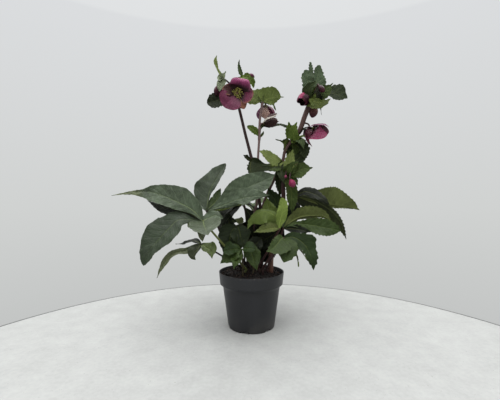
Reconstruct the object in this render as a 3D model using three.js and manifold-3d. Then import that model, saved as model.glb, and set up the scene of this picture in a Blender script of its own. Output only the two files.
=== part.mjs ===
// Hellebore plant in a round nursery pot, millimetres, +Z up, origin at the middle of the pot's underside.
import * as THREE from 'three';
import { mergeVertices } from 'three/addons/utils/BufferGeometryUtils.js';
import Module from 'manifold-3d';

const wasm = await Module();
wasm.setup();

// Driving dimensions
const clearance = 0.3;         // gap between pieces that touch
const sliver = 0.2;            // detail finer than this is dropped from a joined piece
const pot = {
  height: 125, rimRadius: 75, bandHeight: 27, bandTaper: 2.5, bandStep: 1.2, bandEase: 0.6,
  shoulderRadius: 65.5, shoulderDrop: 9, baseRadius: 53.5, wall: 1.8, floor: 3,
  footWidth: 7, recess: 2.2, padRadius: 15, footSlope: 1.5, sides: 24,
  drains: 4, drainRadius: 5, drainCircle: 31, drainSides: 8,
  notches: 6, notchWidth: 15, notchHeight: 3.6, notchTurn: 0.22,
};
const soil = {
  edge: 116, rise: 14, bump: 1.6, rings: [22, 48], peak: 1.5, rootDepth: 24, gap: 0.2, seed: 11,
};
const soilTop = soil.edge + soil.rise;
const root = { collar: 1, straight: 8, swell: 0.4, holeTop: 4, holeSides: 5 };

// How each kind of blade is cut: rise and fall shape its outline, blunt is how much of its width is left at
// the tip and tooth is how deep its edge is notched. A blade narrower than slim has one row fewer.
const forms = {
  leaflet: {
    rise: 1.1, fall: 0.8, stalk: 0.08, rows: 5, columns: 2, slim: 36,
    thick: 1, neck: 1.3, blunt: 0.01, tooth: 0.1, wave: 1.4,
  },
  bract: {
    rise: 0.8, fall: 0.7, stalk: 0.02, rows: 4, columns: 2, slim: 24,
    thick: 0.8, neck: 1.5, blunt: 0.03, tooth: 0.16, wave: 0,
  },
  sepal: {
    rise: 0.55, fall: 0.3, stalk: 0, rows: 3, columns: 3, slim: 0,
    thick: 0.8, neck: 1.8, blunt: 0.4, tooth: 0, wave: 0,
  },
  smallSepal: {
    rise: 0.55, fall: 0.3, stalk: 0, rows: 3, columns: 2, slim: 0,
    thick: 0.8, neck: 1.8, blunt: 0.4, tooth: 0, wave: 0,
  },
};
const bladeDefaults = { arch: 0, sway: 0, cup: 12, roll: 14, twist: 0, ripples: 2 };
const largeSepal = 40;         // sepals at least this wide have one column more

// Small joints: where leaflets, bracts, sepals and stamens meet what carries them.
const leafStalkSides = 4;
const leafTaper = 0.18;        // how much of its girth a leaf stalk loses from soil to hub
const knot = { share: 0.8, extra: 2.6, bladeStart: 0.5 };
const whorlRing = { wall: 2, half: 2.2, bladeStart: 0.6, sides: 6 };
const stemSides = 6;
const sideStalkSides = 4;
const stalkEnd = clearance + 0.1;
const seat = { back: 3, foot: 3, lip: 4.2, front: 1.2, sepalStart: 3, sides: 6, lean: 0.2 };
const boss = { length: 2.6, foot: 2.2, lip: 1.8, sides: 6, rodDepth: 1.3 };
const anther = { foot: 0.7, head: 1.3, start: 1, shorter: 1.5, sides: 3 };
const pistil = { foot: 1.3, head: 0.7, sides: 4 };
const budOutline = [[-0.14, 0.2], [0, 0.34], [0.22, 0.8], [0.48, 1], [0.78, 0.8], [1, 0.22]];
const budFold = { points: 9, sepals: 3, step: 0.09, wind: 0.9 };

// Basal leaves. root: where the leaf stalk stands in the soil. bend: points it passes on its way to the hub,
// where its leaflets meet. Each leaflet: tip, the way its upper side faces, full width, then how it arches,
// sways, folds and twists.
const leaves = {
  leaf_left_front: {
    root: [-14, -30], bend: [[-57, -50, 189]], hub: [-102, -70, 246], stalk: 2.6,
    leaflets: [
      { tip: [-284, -95, 300], face: [0.05, -0.65, 0.75], wide: 58, arch: 24, twist: 20, cup: 8 },
      { tip: [-214, -115, 162], face: [-0.35, -0.7, 0.5], wide: 84, arch: 20, sway: 4, cup: 6 },
      { tip: [-78, -165, 230], face: [0.05, -0.35, 1], wide: 72, arch: 14, cup: 4 },
      { tip: [-214, -64, 270], face: [0, -0.4, 0.85], wide: 38, arch: 10, cup: 10 },
    ],
  },
  leaf_left_back: {
    root: [-6, -17], bend: [[-52, -34, 199]], hub: [-98, -46, 266], stalk: 2.5,
    leaflets: [
      { tip: [-54, -22, 368], face: [-0.3, -1, 0.1], wide: 58, arch: -5, sway: -17, cup: 8 },
      { tip: [36, -75, 300], face: [0.1, -0.85, 0.5], wide: 58, arch: 8, sway: 8, cup: 8 },
      { tip: [47, -38, 350], face: [0, -0.95, 0.3], wide: 60, arch: 6, sway: 4, cup: 6 },
      { tip: [-155, 40, 268], face: [-0.4, 0.1, 0.9], wide: 40, arch: 10 },
    ],
  },
  leaf_left_low: {
    root: [-26, -14], bend: [[-66, -28, 165]], hub: [-110, -38, 193], stalk: 2.4,
    leaflets: [
      { tip: [-201, -60, 124], face: [-0.4, -0.3, 0.8], wide: 36, arch: 24 },
      { tip: [-176, -8, 188], face: [-0.1, -0.2, 1], wide: 30, arch: 10 },
      { tip: [-83, -76, 170], face: [0.1, -0.8, 0.6], wide: 34, arch: 6 },
      { tip: [-122, -74, 160], face: [-0.2, -0.8, 0.6], wide: 26, arch: 8 },
    ],
  },
  leaf_centre: {
    root: [-9, -6], bend: [[-9, -5, 209], [-13, -9, 262]], hub: [-19, -12, 281], stalk: 3.2,
    leaflets: [
      { tip: [-60, -28, 256], face: [-0.2, -0.2, 1], wide: 34, arch: 8 },
      { tip: [-74, -2, 214], face: [-0.6, -0.5, 0.6], wide: 48, arch: 14 },
      { tip: [-50, 26, 222], face: [-0.2, 0.3, 1], wide: 34, arch: 14 },
      { tip: [10, 38, 258], face: [0.1, -0.5, 0.8], wide: 34, arch: 8 },
    ],
  },
  leaf_centre_low: {
    root: [-16, -12], bend: [[-16, -20, 205], [-20, -25, 234]], hub: [-34, -32, 232], stalk: 2.2,
    leaflets: [
      { tip: [-44, -46, 190], face: [-0.1, -0.95, 0.3], wide: 44, arch: 6 },
      { tip: [-10, -48, 192], face: [0.2, -0.9, 0.3], wide: 34, arch: 7 },
      { tip: [-60, -8, 212], face: [-0.5, -0.7, 0.5], wide: 28, arch: 5 },
    ],
  },
  leaf_low_left: {
    root: [-19, -46], bend: [[-20, -54, 165]], hub: [-22, -58, 184], stalk: 2,
    leaflets: [
      { tip: [-62, -76, 154], face: [-0.4, -0.6, 0.7], wide: 28, arch: 7 },
      { tip: [-34, -94, 148], face: [-0.1, -0.6, 0.8], wide: 24, arch: 6 },
      { tip: [-60, -66, 180], face: [-0.3, -0.8, 0.6], wide: 26, arch: 6 },
      { tip: [8, -72, 186], face: [0.1, -0.7, 0.7], wide: 26, arch: 5 },
    ],
  },
  leaf_front: {
    root: [4, -36], bend: [[-1, -40, 155]], hub: [-6, -41, 176], stalk: 1.9,
    leaflets: [
      { tip: [10, -70, 146], face: [0.2, -0.8, 0.6], wide: 33, arch: 7 },
      { tip: [22, -46, 206], face: [0, -0.9, 0.4], wide: 26, arch: 3 },
    ],
  },
  leaf_middle: {
    root: [16, -23], bend: [[38, -34, 180]], hub: [61, -45, 227], stalk: 2.8,
    leaflets: [
      { tip: [-11, -56, 236], face: [0.1, -0.85, 0.35], wide: 62, arch: -8, sway: -6, cup: 32, roll: 30 },
      { tip: [2, -76, 222], face: [0.05, 0.6, 0.8], wide: 34, arch: 6 },
      { tip: [72, -46, 294], face: [0, -1, 0.1], wide: 27, arch: -4 },
    ],
  },
  leaf_right: {
    root: [36, -24], bend: [[56, -24, 185]], hub: [72, -24, 226], stalk: 2.8,
    leaflets: [
      { tip: [210, -26, 213], face: [0.1, -0.6, 0.8], wide: 66, arch: 14 },
      { tip: [188, 2, 240], face: [0, 0.75, 0.65], wide: 52, arch: 14 },
      { tip: [136, -34, 217], face: [0, -0.3, 1], wide: 26, arch: 6 },
      { tip: [112, 56, 212], face: [0.2, 0, 0.95], wide: 38, arch: 6 },
    ],
  },
  leaf_right_front: {
    root: [25, -33], bend: [[50, -44, 178]], hub: [70, -52, 208], stalk: 2.8,
    leaflets: [
      { tip: [127, -80, 147], face: [-0.2, -0.9, 0.35], wide: 42, arch: 6, sway: -14 },
      { tip: [28, -92, 184], face: [-0.2, -0.7, 0.6], wide: 44, arch: 7 },
      { tip: [74, -88, 166], face: [0.1, -0.85, 0.5], wide: 42, arch: 7 },
      { tip: [104, -32, 141], face: [0.5, -0.3, 0.6], wide: 14, arch: 8 },
      { tip: [126, -24, 153], face: [0.5, -0.2, 0.7], wide: 9, arch: 6 },
    ],
  },
  leaf_right_tall: {
    root: [42, 16], bend: [[62, 15, 215], [86, 15, 270]], hub: [106, 15, 300], stalk: 2.8,
    leaflets: [
      { tip: [269, 45, 266], face: [0.05, 0.85, 0.5], wide: 76, arch: 6, cup: 28, roll: 20 },
      { tip: [180, -8, 278], face: [0.1, -0.25, 1], wide: 34, arch: 14, cup: 40, roll: 40 },
      { tip: [229, 25, 196], face: [0.4, 0.65, 0.6], wide: 58, arch: 28 },
      { tip: [94, 6, 240], face: [0, -1, 0.15], wide: 28, arch: 4 },
      { tip: [150, 100, 290], face: [0.2, 0.4, 0.9], wide: 50, arch: 14 },
    ],
  },
  leaf_back_left: {
    root: [-18, 20], bend: [[-42, 48, 190]], hub: [-70, 75, 225], stalk: 2.7,
    leaflets: [
      { tip: [-178, 150, 212], face: [-0.3, 0.3, 0.9], wide: 52, arch: 18 },
      { tip: [-100, 196, 236], face: [0, 0.5, 0.85], wide: 54, arch: 18 },
      { tip: [-182, 62, 232], face: [-0.3, 0, 0.95], wide: 42, arch: 14 },
      { tip: [-30, 165, 215], face: [0.2, 0.4, 0.9], wide: 44, arch: 16 },
    ],
  },
  leaf_back_right: {
    root: [12, 45], bend: [[45, 62, 190]], hub: [75, 80, 230], stalk: 2.7,
    leaflets: [
      { tip: [190, 140, 222], face: [0.3, 0.3, 0.9], wide: 54, arch: 18 },
      { tip: [122, 196, 234], face: [0.1, 0.5, 0.85], wide: 54, arch: 18 },
      { tip: [196, 66, 226], face: [0.3, 0.1, 0.95], wide: 44, arch: 14 },
      { tip: [48, 176, 214], face: [-0.1, 0.4, 0.9], wide: 44, arch: 16 },
    ],
  },
  leaf_back: {
    root: [-4, 32], bend: [[0, 60, 215]], hub: [4, 84, 262], stalk: 2.7,
    leaflets: [
      { tip: [-58, 172, 286], face: [-0.2, 0.2, 1], wide: 46, arch: 16 },
      { tip: [64, 176, 284], face: [0.2, 0.2, 1], wide: 46, arch: 16 },
      { tip: [6, 210, 262], face: [0, 0.4, 0.9], wide: 46, arch: 18 },
    ],
  },
};

// Flower stems. path: points with a radius at each; side: shorter stalks to single flowers.
const stems = {
  stem_left: {
    root: [24, 12], path: [[26, 12, 180, 4], [23, 10, 254, 3.8], [13, 6, 325, 3.7], [0, -4, 387, 3.6],
      [-14, -6, 442, 3.4], [-28, -5, 500, 3.3], [-37, -2, 532, 3.2], [-45, 0, 552, 3]],
    side: [
      { to: 'bloom_left', from: [-44, 0, 551], bend: [[-39, -4, 556], [-33, -12, 547]], radius: 2 },
      {
        to: 'bud_far_left', from: [-44, 0, 551], bend: [[-52, -3, 562], [-66, -5, 571], [-76, -5, 566]],
        radius: 2,
      },
      { to: 'bud_left', from: [-44, 0, 551], bend: [[-36, 3, 566], [-24, 4, 577]], radius: 1.8 },
    ],
  },
  stem_middle: {
    root: [0, 11], path: [[2, 8, 165, 3.2], [4, 1, 205, 3], [7, -8, 260, 2.9], [13, -10, 290, 2.8],
      [15, -12, 379, 2.6], [18, -15, 432, 2.6], [19, -18, 470, 2.6], [25, -20, 513, 2.6]],
    side: [
      { to: 'bloom_middle', from: [25, -20, 512], bend: [[29, -12, 522]], radius: 1.8 },
      { to: 'bloom_middle_low', from: [19, -17.5, 461], bend: [[22, -16, 464.5]], radius: 1.8 },
    ],
  },
  stem_right: {
    root: [18, 30], path: [[19, 30, 180, 4.6], [26, 30, 261, 4.2], [40, 28, 307, 3.8], [63, 22, 356, 3.6],
      [75, 18, 383, 3.6], [81, 14, 409, 3.6], [98, 9, 434, 3.8], [115, 5, 458, 5.4], [124, 0, 484, 5.8],
      [133, -5, 509, 5.6], [141, -5, 533, 4.6]],
    side: [
      { to: 'bloom_right', from: [115, 5, 460], bend: [[124, 5, 470], [134, 8, 469]], radius: 2 },
      { to: 'bloom_right_top', from: [141, -5, 530], bend: [[137, -8, 533]], radius: 2 },
      { to: 'bud_right_top', from: [141, -5, 532], bend: [[146, -13, 548]], radius: 1.8 },
      { to: 'bud_right_hanging', from: [141, -5, 532], bend: [[146, -1, 530], [149, 1, 521]], radius: 1.8 },
    ],
  },
  stem_short: {
    root: [44, -8], path: [[45, -8, 155, 6.2], [50, -7, 190, 5.8], [64, -5, 216, 5.4], [69, -4, 240, 5.2],
      [74, -4, 290, 5], [74, -4, 327, 4.8], [80, -4, 345, 4.4], [86, -4, 357, 3.8]],
    side: [
      { to: 'bud_short', from: [84, -4, 353], bend: [[89, -14, 356]], radius: 1.8 },
      { to: 'bud_short_small', from: [84, -4, 353], bend: [[80, -12, 357]], radius: 1.5 },
    ],
  },
};

// Leafy bracts in whorls. at: the middle of the ring that holds them round its stem, along: the way the stem
// runs there, ring: the ring's inner radius.
const whorls = {
  bracts_left_low: {
    stem: 'stem_left', at: [1, -4, 384], along: [-0.2, -0.1, 1], ring: 3.6,
    bracts: [
      { tip: [-20, -12, 396], face: [-0.3, -0.8, 0.5], wide: 13 },
      { tip: [38, 26, 372], face: [0, -0.85, 0.5], wide: 28, arch: 3 },
      { tip: [-14, -26, 360], face: [-0.3, -0.9, 0.3], wide: 20, arch: 4 },
    ],
  },
  bracts_left: {
    stem: 'stem_left', at: [-41, -1, 541], along: [-0.4, 0.1, 1], ring: 3.2,
    bracts: [
      { tip: [-104, 12, 514], face: [-0.2, -0.9, 0.4], wide: 44, arch: 6, cup: 6 },
      { tip: [-60, 40, 552], face: [-0.3, 0.3, 0.9], wide: 30, arch: 6 },
    ],
  },
  bracts_far_left: {
    stem: 'stem_left', at: [-64, -5, 570], along: [-0.85, -0.1, 0.45], ring: 2.2,
    bracts: [
      { tip: [-79, -6, 626], face: [0.6, -0.8, 0.1], wide: 11, sway: -9 },
      { tip: [-57, -12, 588], face: [-0.4, -0.9, 0.2], wide: 22, cup: 18 },
      { tip: [-73, -16, 536], face: [-0.2, -1, 0.1], wide: 14, cup: 14 },
    ],
  },
  bracts_left_right: {
    stem: 'stem_left', at: [-25, 4, 576.5], along: [0.85, 0, 0.5], ring: 2,
    bracts: [
      { tip: [-28, 2, 619], face: [0.2, -1, 0.1], wide: 12, sway: -3 },
      { tip: [8, 22, 554], face: [0.2, -0.6, 0.8], wide: 28, arch: 10 },
      { tip: [-22, 44, 572], face: [0.1, 0.2, 1], wide: 24, arch: 6 },
    ],
  },
  bracts_middle: {
    stem: 'stem_middle', at: [18, -15, 432], along: [0.05, -0.05, 1], ring: 2.7,
    bracts: [
      { tip: [-10, -20, 458], face: [0.4, -0.8, 0.4], wide: 13 },
    ],
  },
  bracts_middle_high: {
    stem: 'stem_middle', at: [18.3, -16.2, 449], along: [0.05, -0.1, 1], ring: 2.7,
    bracts: [
      { tip: [80, 16, 458], face: [0.1, -0.3, 1], wide: 24, arch: -6 },
    ],
  },
  bracts_middle_top: {
    stem: 'stem_middle', at: [24.5, -20, 509], along: [0.15, -0.05, 1], ring: 2.7,
    bracts: [
      { tip: [-10, -12, 530], face: [-0.1, -0.85, 0.5], wide: 38, arch: 3, cup: 4 },
      { tip: [73, -30, 522], face: [0.1, -0.85, 0.5], wide: 38, arch: 3, cup: 6 },
      { tip: [44, 10, 548], face: [0.2, -0.8, 0.5], wide: 28, arch: 2 },
      { tip: [58, -14, 489], face: [0.3, -0.8, 0.3], wide: 11, arch: 4 },
    ],
  },
  bracts_right_low: {
    stem: 'stem_right', at: [73.5, 18.5, 380], along: [0.4, -0.2, 1], ring: 3.7,
    bracts: [
      { tip: [18, -18, 404], face: [0.3, -0.8, 0.5], wide: 42, arch: 4, cup: 5 },
      { tip: [30, 2, 344], face: [-0.3, -0.8, 0.5], wide: 28, arch: 5 },
      { tip: [52, -30, 362], face: [-0.2, -0.7, 0.7], wide: 26, arch: 5 },
      { tip: [104, 50, 366], face: [0.2, 0.4, 0.9], wide: 28, arch: 5 },
    ],
  },
  bracts_right: {
    stem: 'stem_right', at: [95, 10, 430], along: [0.6, -0.2, 0.9], ring: 3.9,
    bracts: [
      { tip: [84, 0, 474], face: [0.2, -1, 0], wide: 27 },
      { tip: [107, -8, 472], face: [-0.3, -1, 0], wide: 25 },
      { tip: [52, -6, 432], face: [0.1, -0.9, 0.3], wide: 18 },
      { tip: [68, -10, 400], face: [-0.2, -0.95, 0.2], wide: 28, arch: 3 },
      { tip: [130, -12, 440], face: [0.1, -0.7, 0.6], wide: 20 },
      { tip: [97, -14, 381], face: [0, -1, 0.1], wide: 26, arch: 5 },
      { tip: [124, -8, 404], face: [0.2, -0.9, 0.3], wide: 26, arch: 3 },
    ],
  },
  bracts_right_top: {
    stem: 'stem_right', at: [140, -5, 530], along: [0.25, 0, 1], ring: 4.9,
    bracts: [
      { tip: [110, -2, 576], face: [0.1, -0.95, 0.3], wide: 40, cup: 4 },
      { tip: [137, 8, 613], face: [0.1, -1, 0.1], wide: 22, cup: 6 },
      { tip: [163, 0, 602], face: [-0.1, -0.95, 0.2], wide: 50, cup: 4 },
      { tip: [142, -33, 556], face: [0.5, 0.1, 0.8], wide: 24, arch: -10 },
      { tip: [186, -30, 552], face: [-0.3, -0.5, 0.8], wide: 26, arch: -6 },
    ],
  },
  bracts_right_under: {
    stem: 'stem_right', at: [137, -5, 519], along: [0.3, -0.05, 1], ring: 5.3,
    bracts: [
      { tip: [220, -10, 524], face: [0, -0.8, 0.6], wide: 58, arch: 5, sway: -9, cup: 8 },
      { tip: [143, -36, 490], face: [0.2, -0.8, 0.3], wide: 22, arch: 5 },
      { tip: [177, -26, 504], face: [0.2, -0.8, 0.5], wide: 28, arch: 4 },
      { tip: [164, 40, 494], face: [0.4, -0.5, 0.3], wide: 11, arch: 4 },
    ],
  },
  bracts_short: {
    stem: 'stem_short', at: [82.5, -4, 350], along: [0.45, 0, 1], ring: 4.2,
    bracts: [
      { tip: [142, -20, 364], face: [0.1, -0.85, 0.5], wide: 34, arch: 4, cup: 8 },
      { tip: [124, -14, 332], face: [0.2, -0.85, 0.4], wide: 28, arch: 5 },
      { tip: [97, -18, 267], face: [0, -1, 0.1], wide: 29, arch: 4 },
      { tip: [138, 0, 413], face: [-0.3, -0.9, 0.2], wide: 28, arch: 3 },
      { tip: [96, -22, 386], face: [-0.2, -1, 0], wide: 15 },
      { tip: [88, 46, 340], face: [0, 0.3, 0.9], wide: 26, arch: 5 },
    ],
  },
};

// Flowers and buds. at: the seat of the petal-like sepals, look: the way the flower opens.
const blooms = {
  bloom_left: {
    at: [-30, -34, 526], look: [-0.14, -0.96, -0.14], turn: 0, open: 76, bowl: 5, cup: 4, roll: 20,
    sepals: [[38, 48], [36, 46], [38, 47], [42, 50], [37, 46]], spread: 13, reach: 9, anthers: 8,
  },
  bloom_middle: {
    at: [33, 3, 511], look: [0.1, 0.45, -0.9], turn: 20, open: 38, bowl: 7, cup: 10, roll: 44,
    sepals: [[36, 27], [37, 28], [36, 27], [35, 26], [36, 27]], spread: 6, reach: 14, anthers: 4,
  },
  bloom_middle_low: {
    at: [29, -14, 466], look: [0.95, -0.12, 0.18], turn: 50, open: 26, bowl: 5, cup: 10, roll: 44,
    sepals: [[37, 20], [36, 20], [34, 19], [35, 20], [36, 20]], spread: 4, reach: 15, anthers: 4,
  },
  bloom_right: {
    at: [143, 4, 458], look: [0.5, -0.62, -0.6], turn: 30, open: 36, bowl: 9, cup: 8, roll: 44,
    sepals: [[34, 36], [33, 34], [34, 36], [33, 34], [34, 36]], spread: 8, reach: 13, anthers: 5,
  },
  bloom_right_top: {
    at: [122, -12, 525], look: [-0.6, -0.42, -0.65], turn: 10, open: 34, bowl: 7, cup: 10, roll: 44,
    sepals: [[25, 25], [25, 24], [26, 25], [24, 24], [25, 25]], spread: 5, reach: 12, anthers: 5,
  },
};
const buds = {
  bud_far_left: { at: [-80, -5, 557], look: [-0.1, 0, -1], long: 23, wide: 15, turn: 20 },
  bud_left: { at: [-6, 0, 583], look: [0.85, 0, -0.5], long: 15, wide: 11, turn: 0 },
  bud_right_top: { at: [152, -26, 542], look: [0.1, -0.25, -0.95], long: 21, wide: 14, turn: 30 },
  bud_right_hanging: { at: [149, 2, 510], look: [-0.12, 0, -1], long: 28, wide: 19, turn: 0 },
  bud_short: { at: [92, -24, 337], look: [0, -0.1, -1], long: 22, wide: 18, turn: 40 },
  bud_short_small: { at: [78, -17, 347], look: [-0.1, -0.2, -1], long: 9, wide: 7, turn: 10 },
};

const colours = {
  pot: 0x37383a, soil: 0x241c18, leaf: 0x3f5a2c, greyLeaf: 0x55685a, bract: 0x55762f,
  stem: 0x5a3a3c, sepal: 0x6d2c4c, stamen: 0xa6a04a,
};

// Small helpers
function vector(values) {
  return new THREE.Vector3(values[0], values[1], values[2]);
}

function randomFrom(seed) {
  let state = seed;
  return () => {
    state = (state * 1664525 + 1013904223) % 4294967296;
    return state / 4294967296;
  };
}

function toSolid(geometry) {
  const bare = geometry.clone();
  bare.deleteAttribute('normal');
  bare.deleteAttribute('uv');
  const merged = mergeVertices(bare, 1e-4);
  const mesh = { numProp: 3, vertProperties: merged.attributes.position.array, triVerts: merged.index.array };
  return new wasm.Manifold(new wasm.Mesh({ ...mesh, triVerts: Uint32Array.from(mesh.triVerts) }));
}

function toGeometry(solid) {
  const mesh = solid.getMesh();
  const geometry = new THREE.BufferGeometry();
  geometry.setAttribute('position', new THREE.BufferAttribute(Float32Array.from(mesh.vertProperties), 3));
  geometry.setIndex(new THREE.BufferAttribute(Uint32Array.from(mesh.triVerts), 1));
  geometry.computeVertexNormals();
  return geometry;
}

function fuse(solids) {
  return solids.reduce((sum, solid) => sum.add(solid));
}

// The same solid with the slivers that joining leaves taken out.
function tidy(solid) {
  return solid.simplify(sliver);
}

// The largest piece of a cut solid, so that a loose scrap beside the cut is dropped.
function largest(solid) {
  const pieces = solid.decompose();
  return pieces.reduce((best, piece) => (piece.volume() > best.volume() ? piece : best));
}

function indexed(points, index) {
  const geometry = new THREE.BufferGeometry();
  geometry.setFromPoints(points);
  geometry.setIndex(index);
  return geometry;
}

// Closed skin over rings of points that run anticlockwise about the way from the first ring to the last.
function skin(rings) {
  const count = rings[0].length;
  const last = (rings.length - 1) * count;
  const index = [];
  for (let ring = 0; ring < rings.length - 1; ring++) {
    for (let k = 0; k < count; k++) {
      const a = ring * count + k;
      const b = ring * count + (k + 1) % count;
      index.push(a, b, b + count, a, b + count, a + count);
    }
  }
  for (let k = 1; k < count - 1; k++) {
    index.push(0, k + 1, k, last, last + k, last + k + 1);
  }
  return indexed(rings.flat(), index);
}

// Round rod through hand-placed points, with a radius at each. It takes stepsEach steps from point to point,
// or one along the first few straight spans; grow widens and lengthens it for cutting.
function rod(points, radii, sides, stepsEach, grow = 0, straight = 0) {
  const curve = new THREE.CatmullRomCurve3(points, false, 'catmullrom', 0.5);
  const spans = points.length - 1;
  const stations = [];
  for (let step = 0; step <= spans * stepsEach; step++) {
    if (step % stepsEach === 0 || step > straight * stepsEach) stations.push(step / stepsEach);
  }
  const across = new THREE.Vector3(1, 0, 0);
  if (Math.abs(curve.getTangent(0).x) > 0.8) across.set(0, 1, 0);
  const rings = [];
  for (const station of stations) {
    const span = Math.min(Math.floor(station), spans - 1);
    const radius = THREE.MathUtils.lerp(radii[span], radii[span + 1], station - span) + grow;
    const centre = curve.getPoint(station / spans);
    const tangent = curve.getTangent(station / spans);
    if (station === 0) centre.addScaledVector(tangent, -grow);
    if (station === spans) centre.addScaledVector(tangent, grow);
    across.addScaledVector(tangent, -across.dot(tangent)).normalize();
    const over = new THREE.Vector3().crossVectors(tangent, across);
    const ring = [];
    for (let k = 0; k < sides; k++) {
      const angle = 2 * Math.PI * k / sides;
      const point = centre.clone().addScaledVector(across, radius * Math.cos(angle));
      ring.push(point.addScaledVector(over, radius * Math.sin(angle)));
    }
    rings.push(ring);
  }
  return toSolid(skin(rings));
}

// Half the width of a blade, u from 0 at the base to 1 at the tip: wide/2 * w^rise * (1 - w)^fall / peak.
function halfWidth(form, wide, u) {
  const w = Math.max(0, (u - form.stalk) / (1 - form.stalk));
  const top = form.rise / (form.rise + form.fall);
  const peak = top ** form.rise * (1 - top) ** form.fall;
  return wide / 2 * w ** form.rise * (1 - w) ** form.fall / peak;
}

// One blade as a closed sheet. Its rib is a curve from start to tip that arches along its face; each half is
// folded by cup at the rib and by roll more at the edge, and both sheets share one set of triangles.
function blade(start, spec, kind) {
  const shape = { ...bladeDefaults, ...spec };
  const form = forms[kind];
  const rows = shape.wide < form.slim ? form.rows - 1 : form.rows;
  const tip = vector(shape.tip);
  const chord = tip.clone().sub(start).normalize();
  const face = vector(shape.face);
  face.addScaledVector(chord, -face.dot(chord)).normalize();
  const side = new THREE.Vector3().crossVectors(chord, face);
  const knee = start.clone().add(tip).multiplyScalar(0.5);
  knee.addScaledVector(face, 2 * shape.arch).addScaledVector(side, 2 * shape.sway);
  const rib = new THREE.QuadraticBezierCurve3(start, knee, tip);
  const degree = Math.PI / 180;
  const upper = [];
  const lower = [];
  for (let row = 0; row <= rows; row++) {
    const u = row / rows;
    const centre = rib.getPoint(u);
    const tangent = rib.getTangent(u);
    const up = face.clone().addScaledVector(tangent, -face.dot(tangent)).normalize();
    up.applyAxisAngle(tangent, shape.twist * degree * u);
    const across = new THREE.Vector3().crossVectors(tangent, up);
    const notch = row % 2 === 0 && row > 0 && row < rows ? 1 - form.tooth : 1;
    const least = row === rows ? shape.wide * form.blunt : form.neck;
    const half = Math.max(halfWidth(form, shape.wide, u) * notch, least);
    for (let column = 0; column <= form.columns; column++) {
      const v = 2 * column / form.columns - 1;
      const reach = Math.abs(v);
      const hand = Math.sign(v);
      const lean = (shape.cup + shape.roll * reach / 2) * degree;
      const tilt = (shape.cup + shape.roll * reach) * degree * Math.sign(reach);
      const phase = 2 * Math.PI * shape.ripples * u + (v < 0 ? 2 : 0);
      const lift = half * reach * Math.sin(lean) + form.wave * reach ** 2 * Math.sin(phase);
      const point = centre.clone().addScaledVector(across, half * reach * hand * Math.cos(lean));
      point.addScaledVector(up, lift);
      const normal = up.clone().multiplyScalar(Math.cos(tilt));
      normal.addScaledVector(across, -hand * Math.sin(tilt));
      upper.push(point.clone().addScaledVector(normal, form.thick / 2));
      lower.push(point.clone().addScaledVector(normal, -form.thick / 2));
    }
  }
  return toSolid(indexed([...upper, ...lower], sheetIndex(rows, form.columns)));
}

// Triangles of an upper and a lower sheet of points and of the rim between them.
function sheetIndex(rows, columns) {
  const index = [];
  const width = columns + 1;
  const under = (rows + 1) * width;
  for (let row = 0; row < rows; row++) {
    for (let column = 0; column < columns; column++) {
      const a = row * width + column;
      const b = a + 1;
      const c = a + width;
      const d = c + 1;
      const left = column < columns / 2;
      const halves = left ? [[a, b, d], [a, d, c]] : [[a, b, c], [b, d, c]];
      for (const [p, q, r] of halves) {
        index.push(p, q, r, p + under, r + under, q + under);
      }
    }
    const first = row * width;
    const last = first + columns;
    index.push(first, first + width, first + width + under, first, first + width + under, first + under);
    index.push(last, last + under, last + width + under, last, last + width + under, last + width);
  }
  for (let column = 0; column < columns; column++) {
    const end = rows * width + column;
    index.push(column, column + under, column + 1 + under, column, column + 1 + under, column + 1);
    index.push(end, end + 1, end + 1 + under, end, end + 1 + under, end + under);
  }
  return index;
}

// Pot: one moulded shell with a band at the rim, a foot ring, a raised floor, drain holes and foot notches.
function potSolid() {
  const shoulder = pot.height - pot.bandHeight - pot.shoulderDrop;
  const bandFoot = pot.height - pot.bandHeight;
  const floorTop = pot.recess + pot.floor;
  const footInner = pot.baseRadius - pot.footWidth;
  const bandRadius = pot.rimRadius - pot.bandTaper;
  const profile = [
    [0, 0], [pot.padRadius, 0], [pot.padRadius + pot.footSlope, pot.recess],
    [footInner - pot.footSlope, pot.recess], [footInner, 0],
    [pot.baseRadius, 0], [pot.shoulderRadius, shoulder],
    [bandRadius - pot.bandStep, bandFoot - pot.bandEase], [bandRadius, bandFoot + pot.bandEase],
    [pot.rimRadius, pot.height], [pot.rimRadius - pot.wall, pot.height],
    [bandRadius - pot.wall, bandFoot + pot.wall], [pot.shoulderRadius - pot.wall, shoulder + pot.wall],
    [pot.baseRadius - pot.wall, floorTop], [0, floorTop],
  ];
  const outline = profile.map(([radius, height]) => new THREE.Vector2(radius, height));
  const shell = new THREE.LatheGeometry(outline, pot.sides);
  shell.rotateX(Math.PI / 2);
  let solid = toSolid(shell);
  for (let k = 0; k < pot.drains; k++) {
    const angle = 2 * Math.PI * (k + 0.5) / pot.drains;
    const drain = new THREE.CylinderGeometry(pot.drainRadius, pot.drainRadius, 4 * floorTop, pot.drainSides);
    drain.rotateX(Math.PI / 2);
    drain.translate(pot.drainCircle * Math.cos(angle), pot.drainCircle * Math.sin(angle), 0);
    solid = solid.subtract(toSolid(drain));
  }
  for (let k = 0; k < pot.notches; k++) {
    const notch = new THREE.BoxGeometry(2 * pot.footWidth, pot.notchWidth, 2 * pot.notchHeight);
    notch.translate(pot.baseRadius, 0, 0);
    notch.rotateZ(2 * Math.PI * (k + pot.notchTurn) / pot.notches);
    solid = solid.subtract(toSolid(notch));
  }
  return solid;
}

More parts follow.
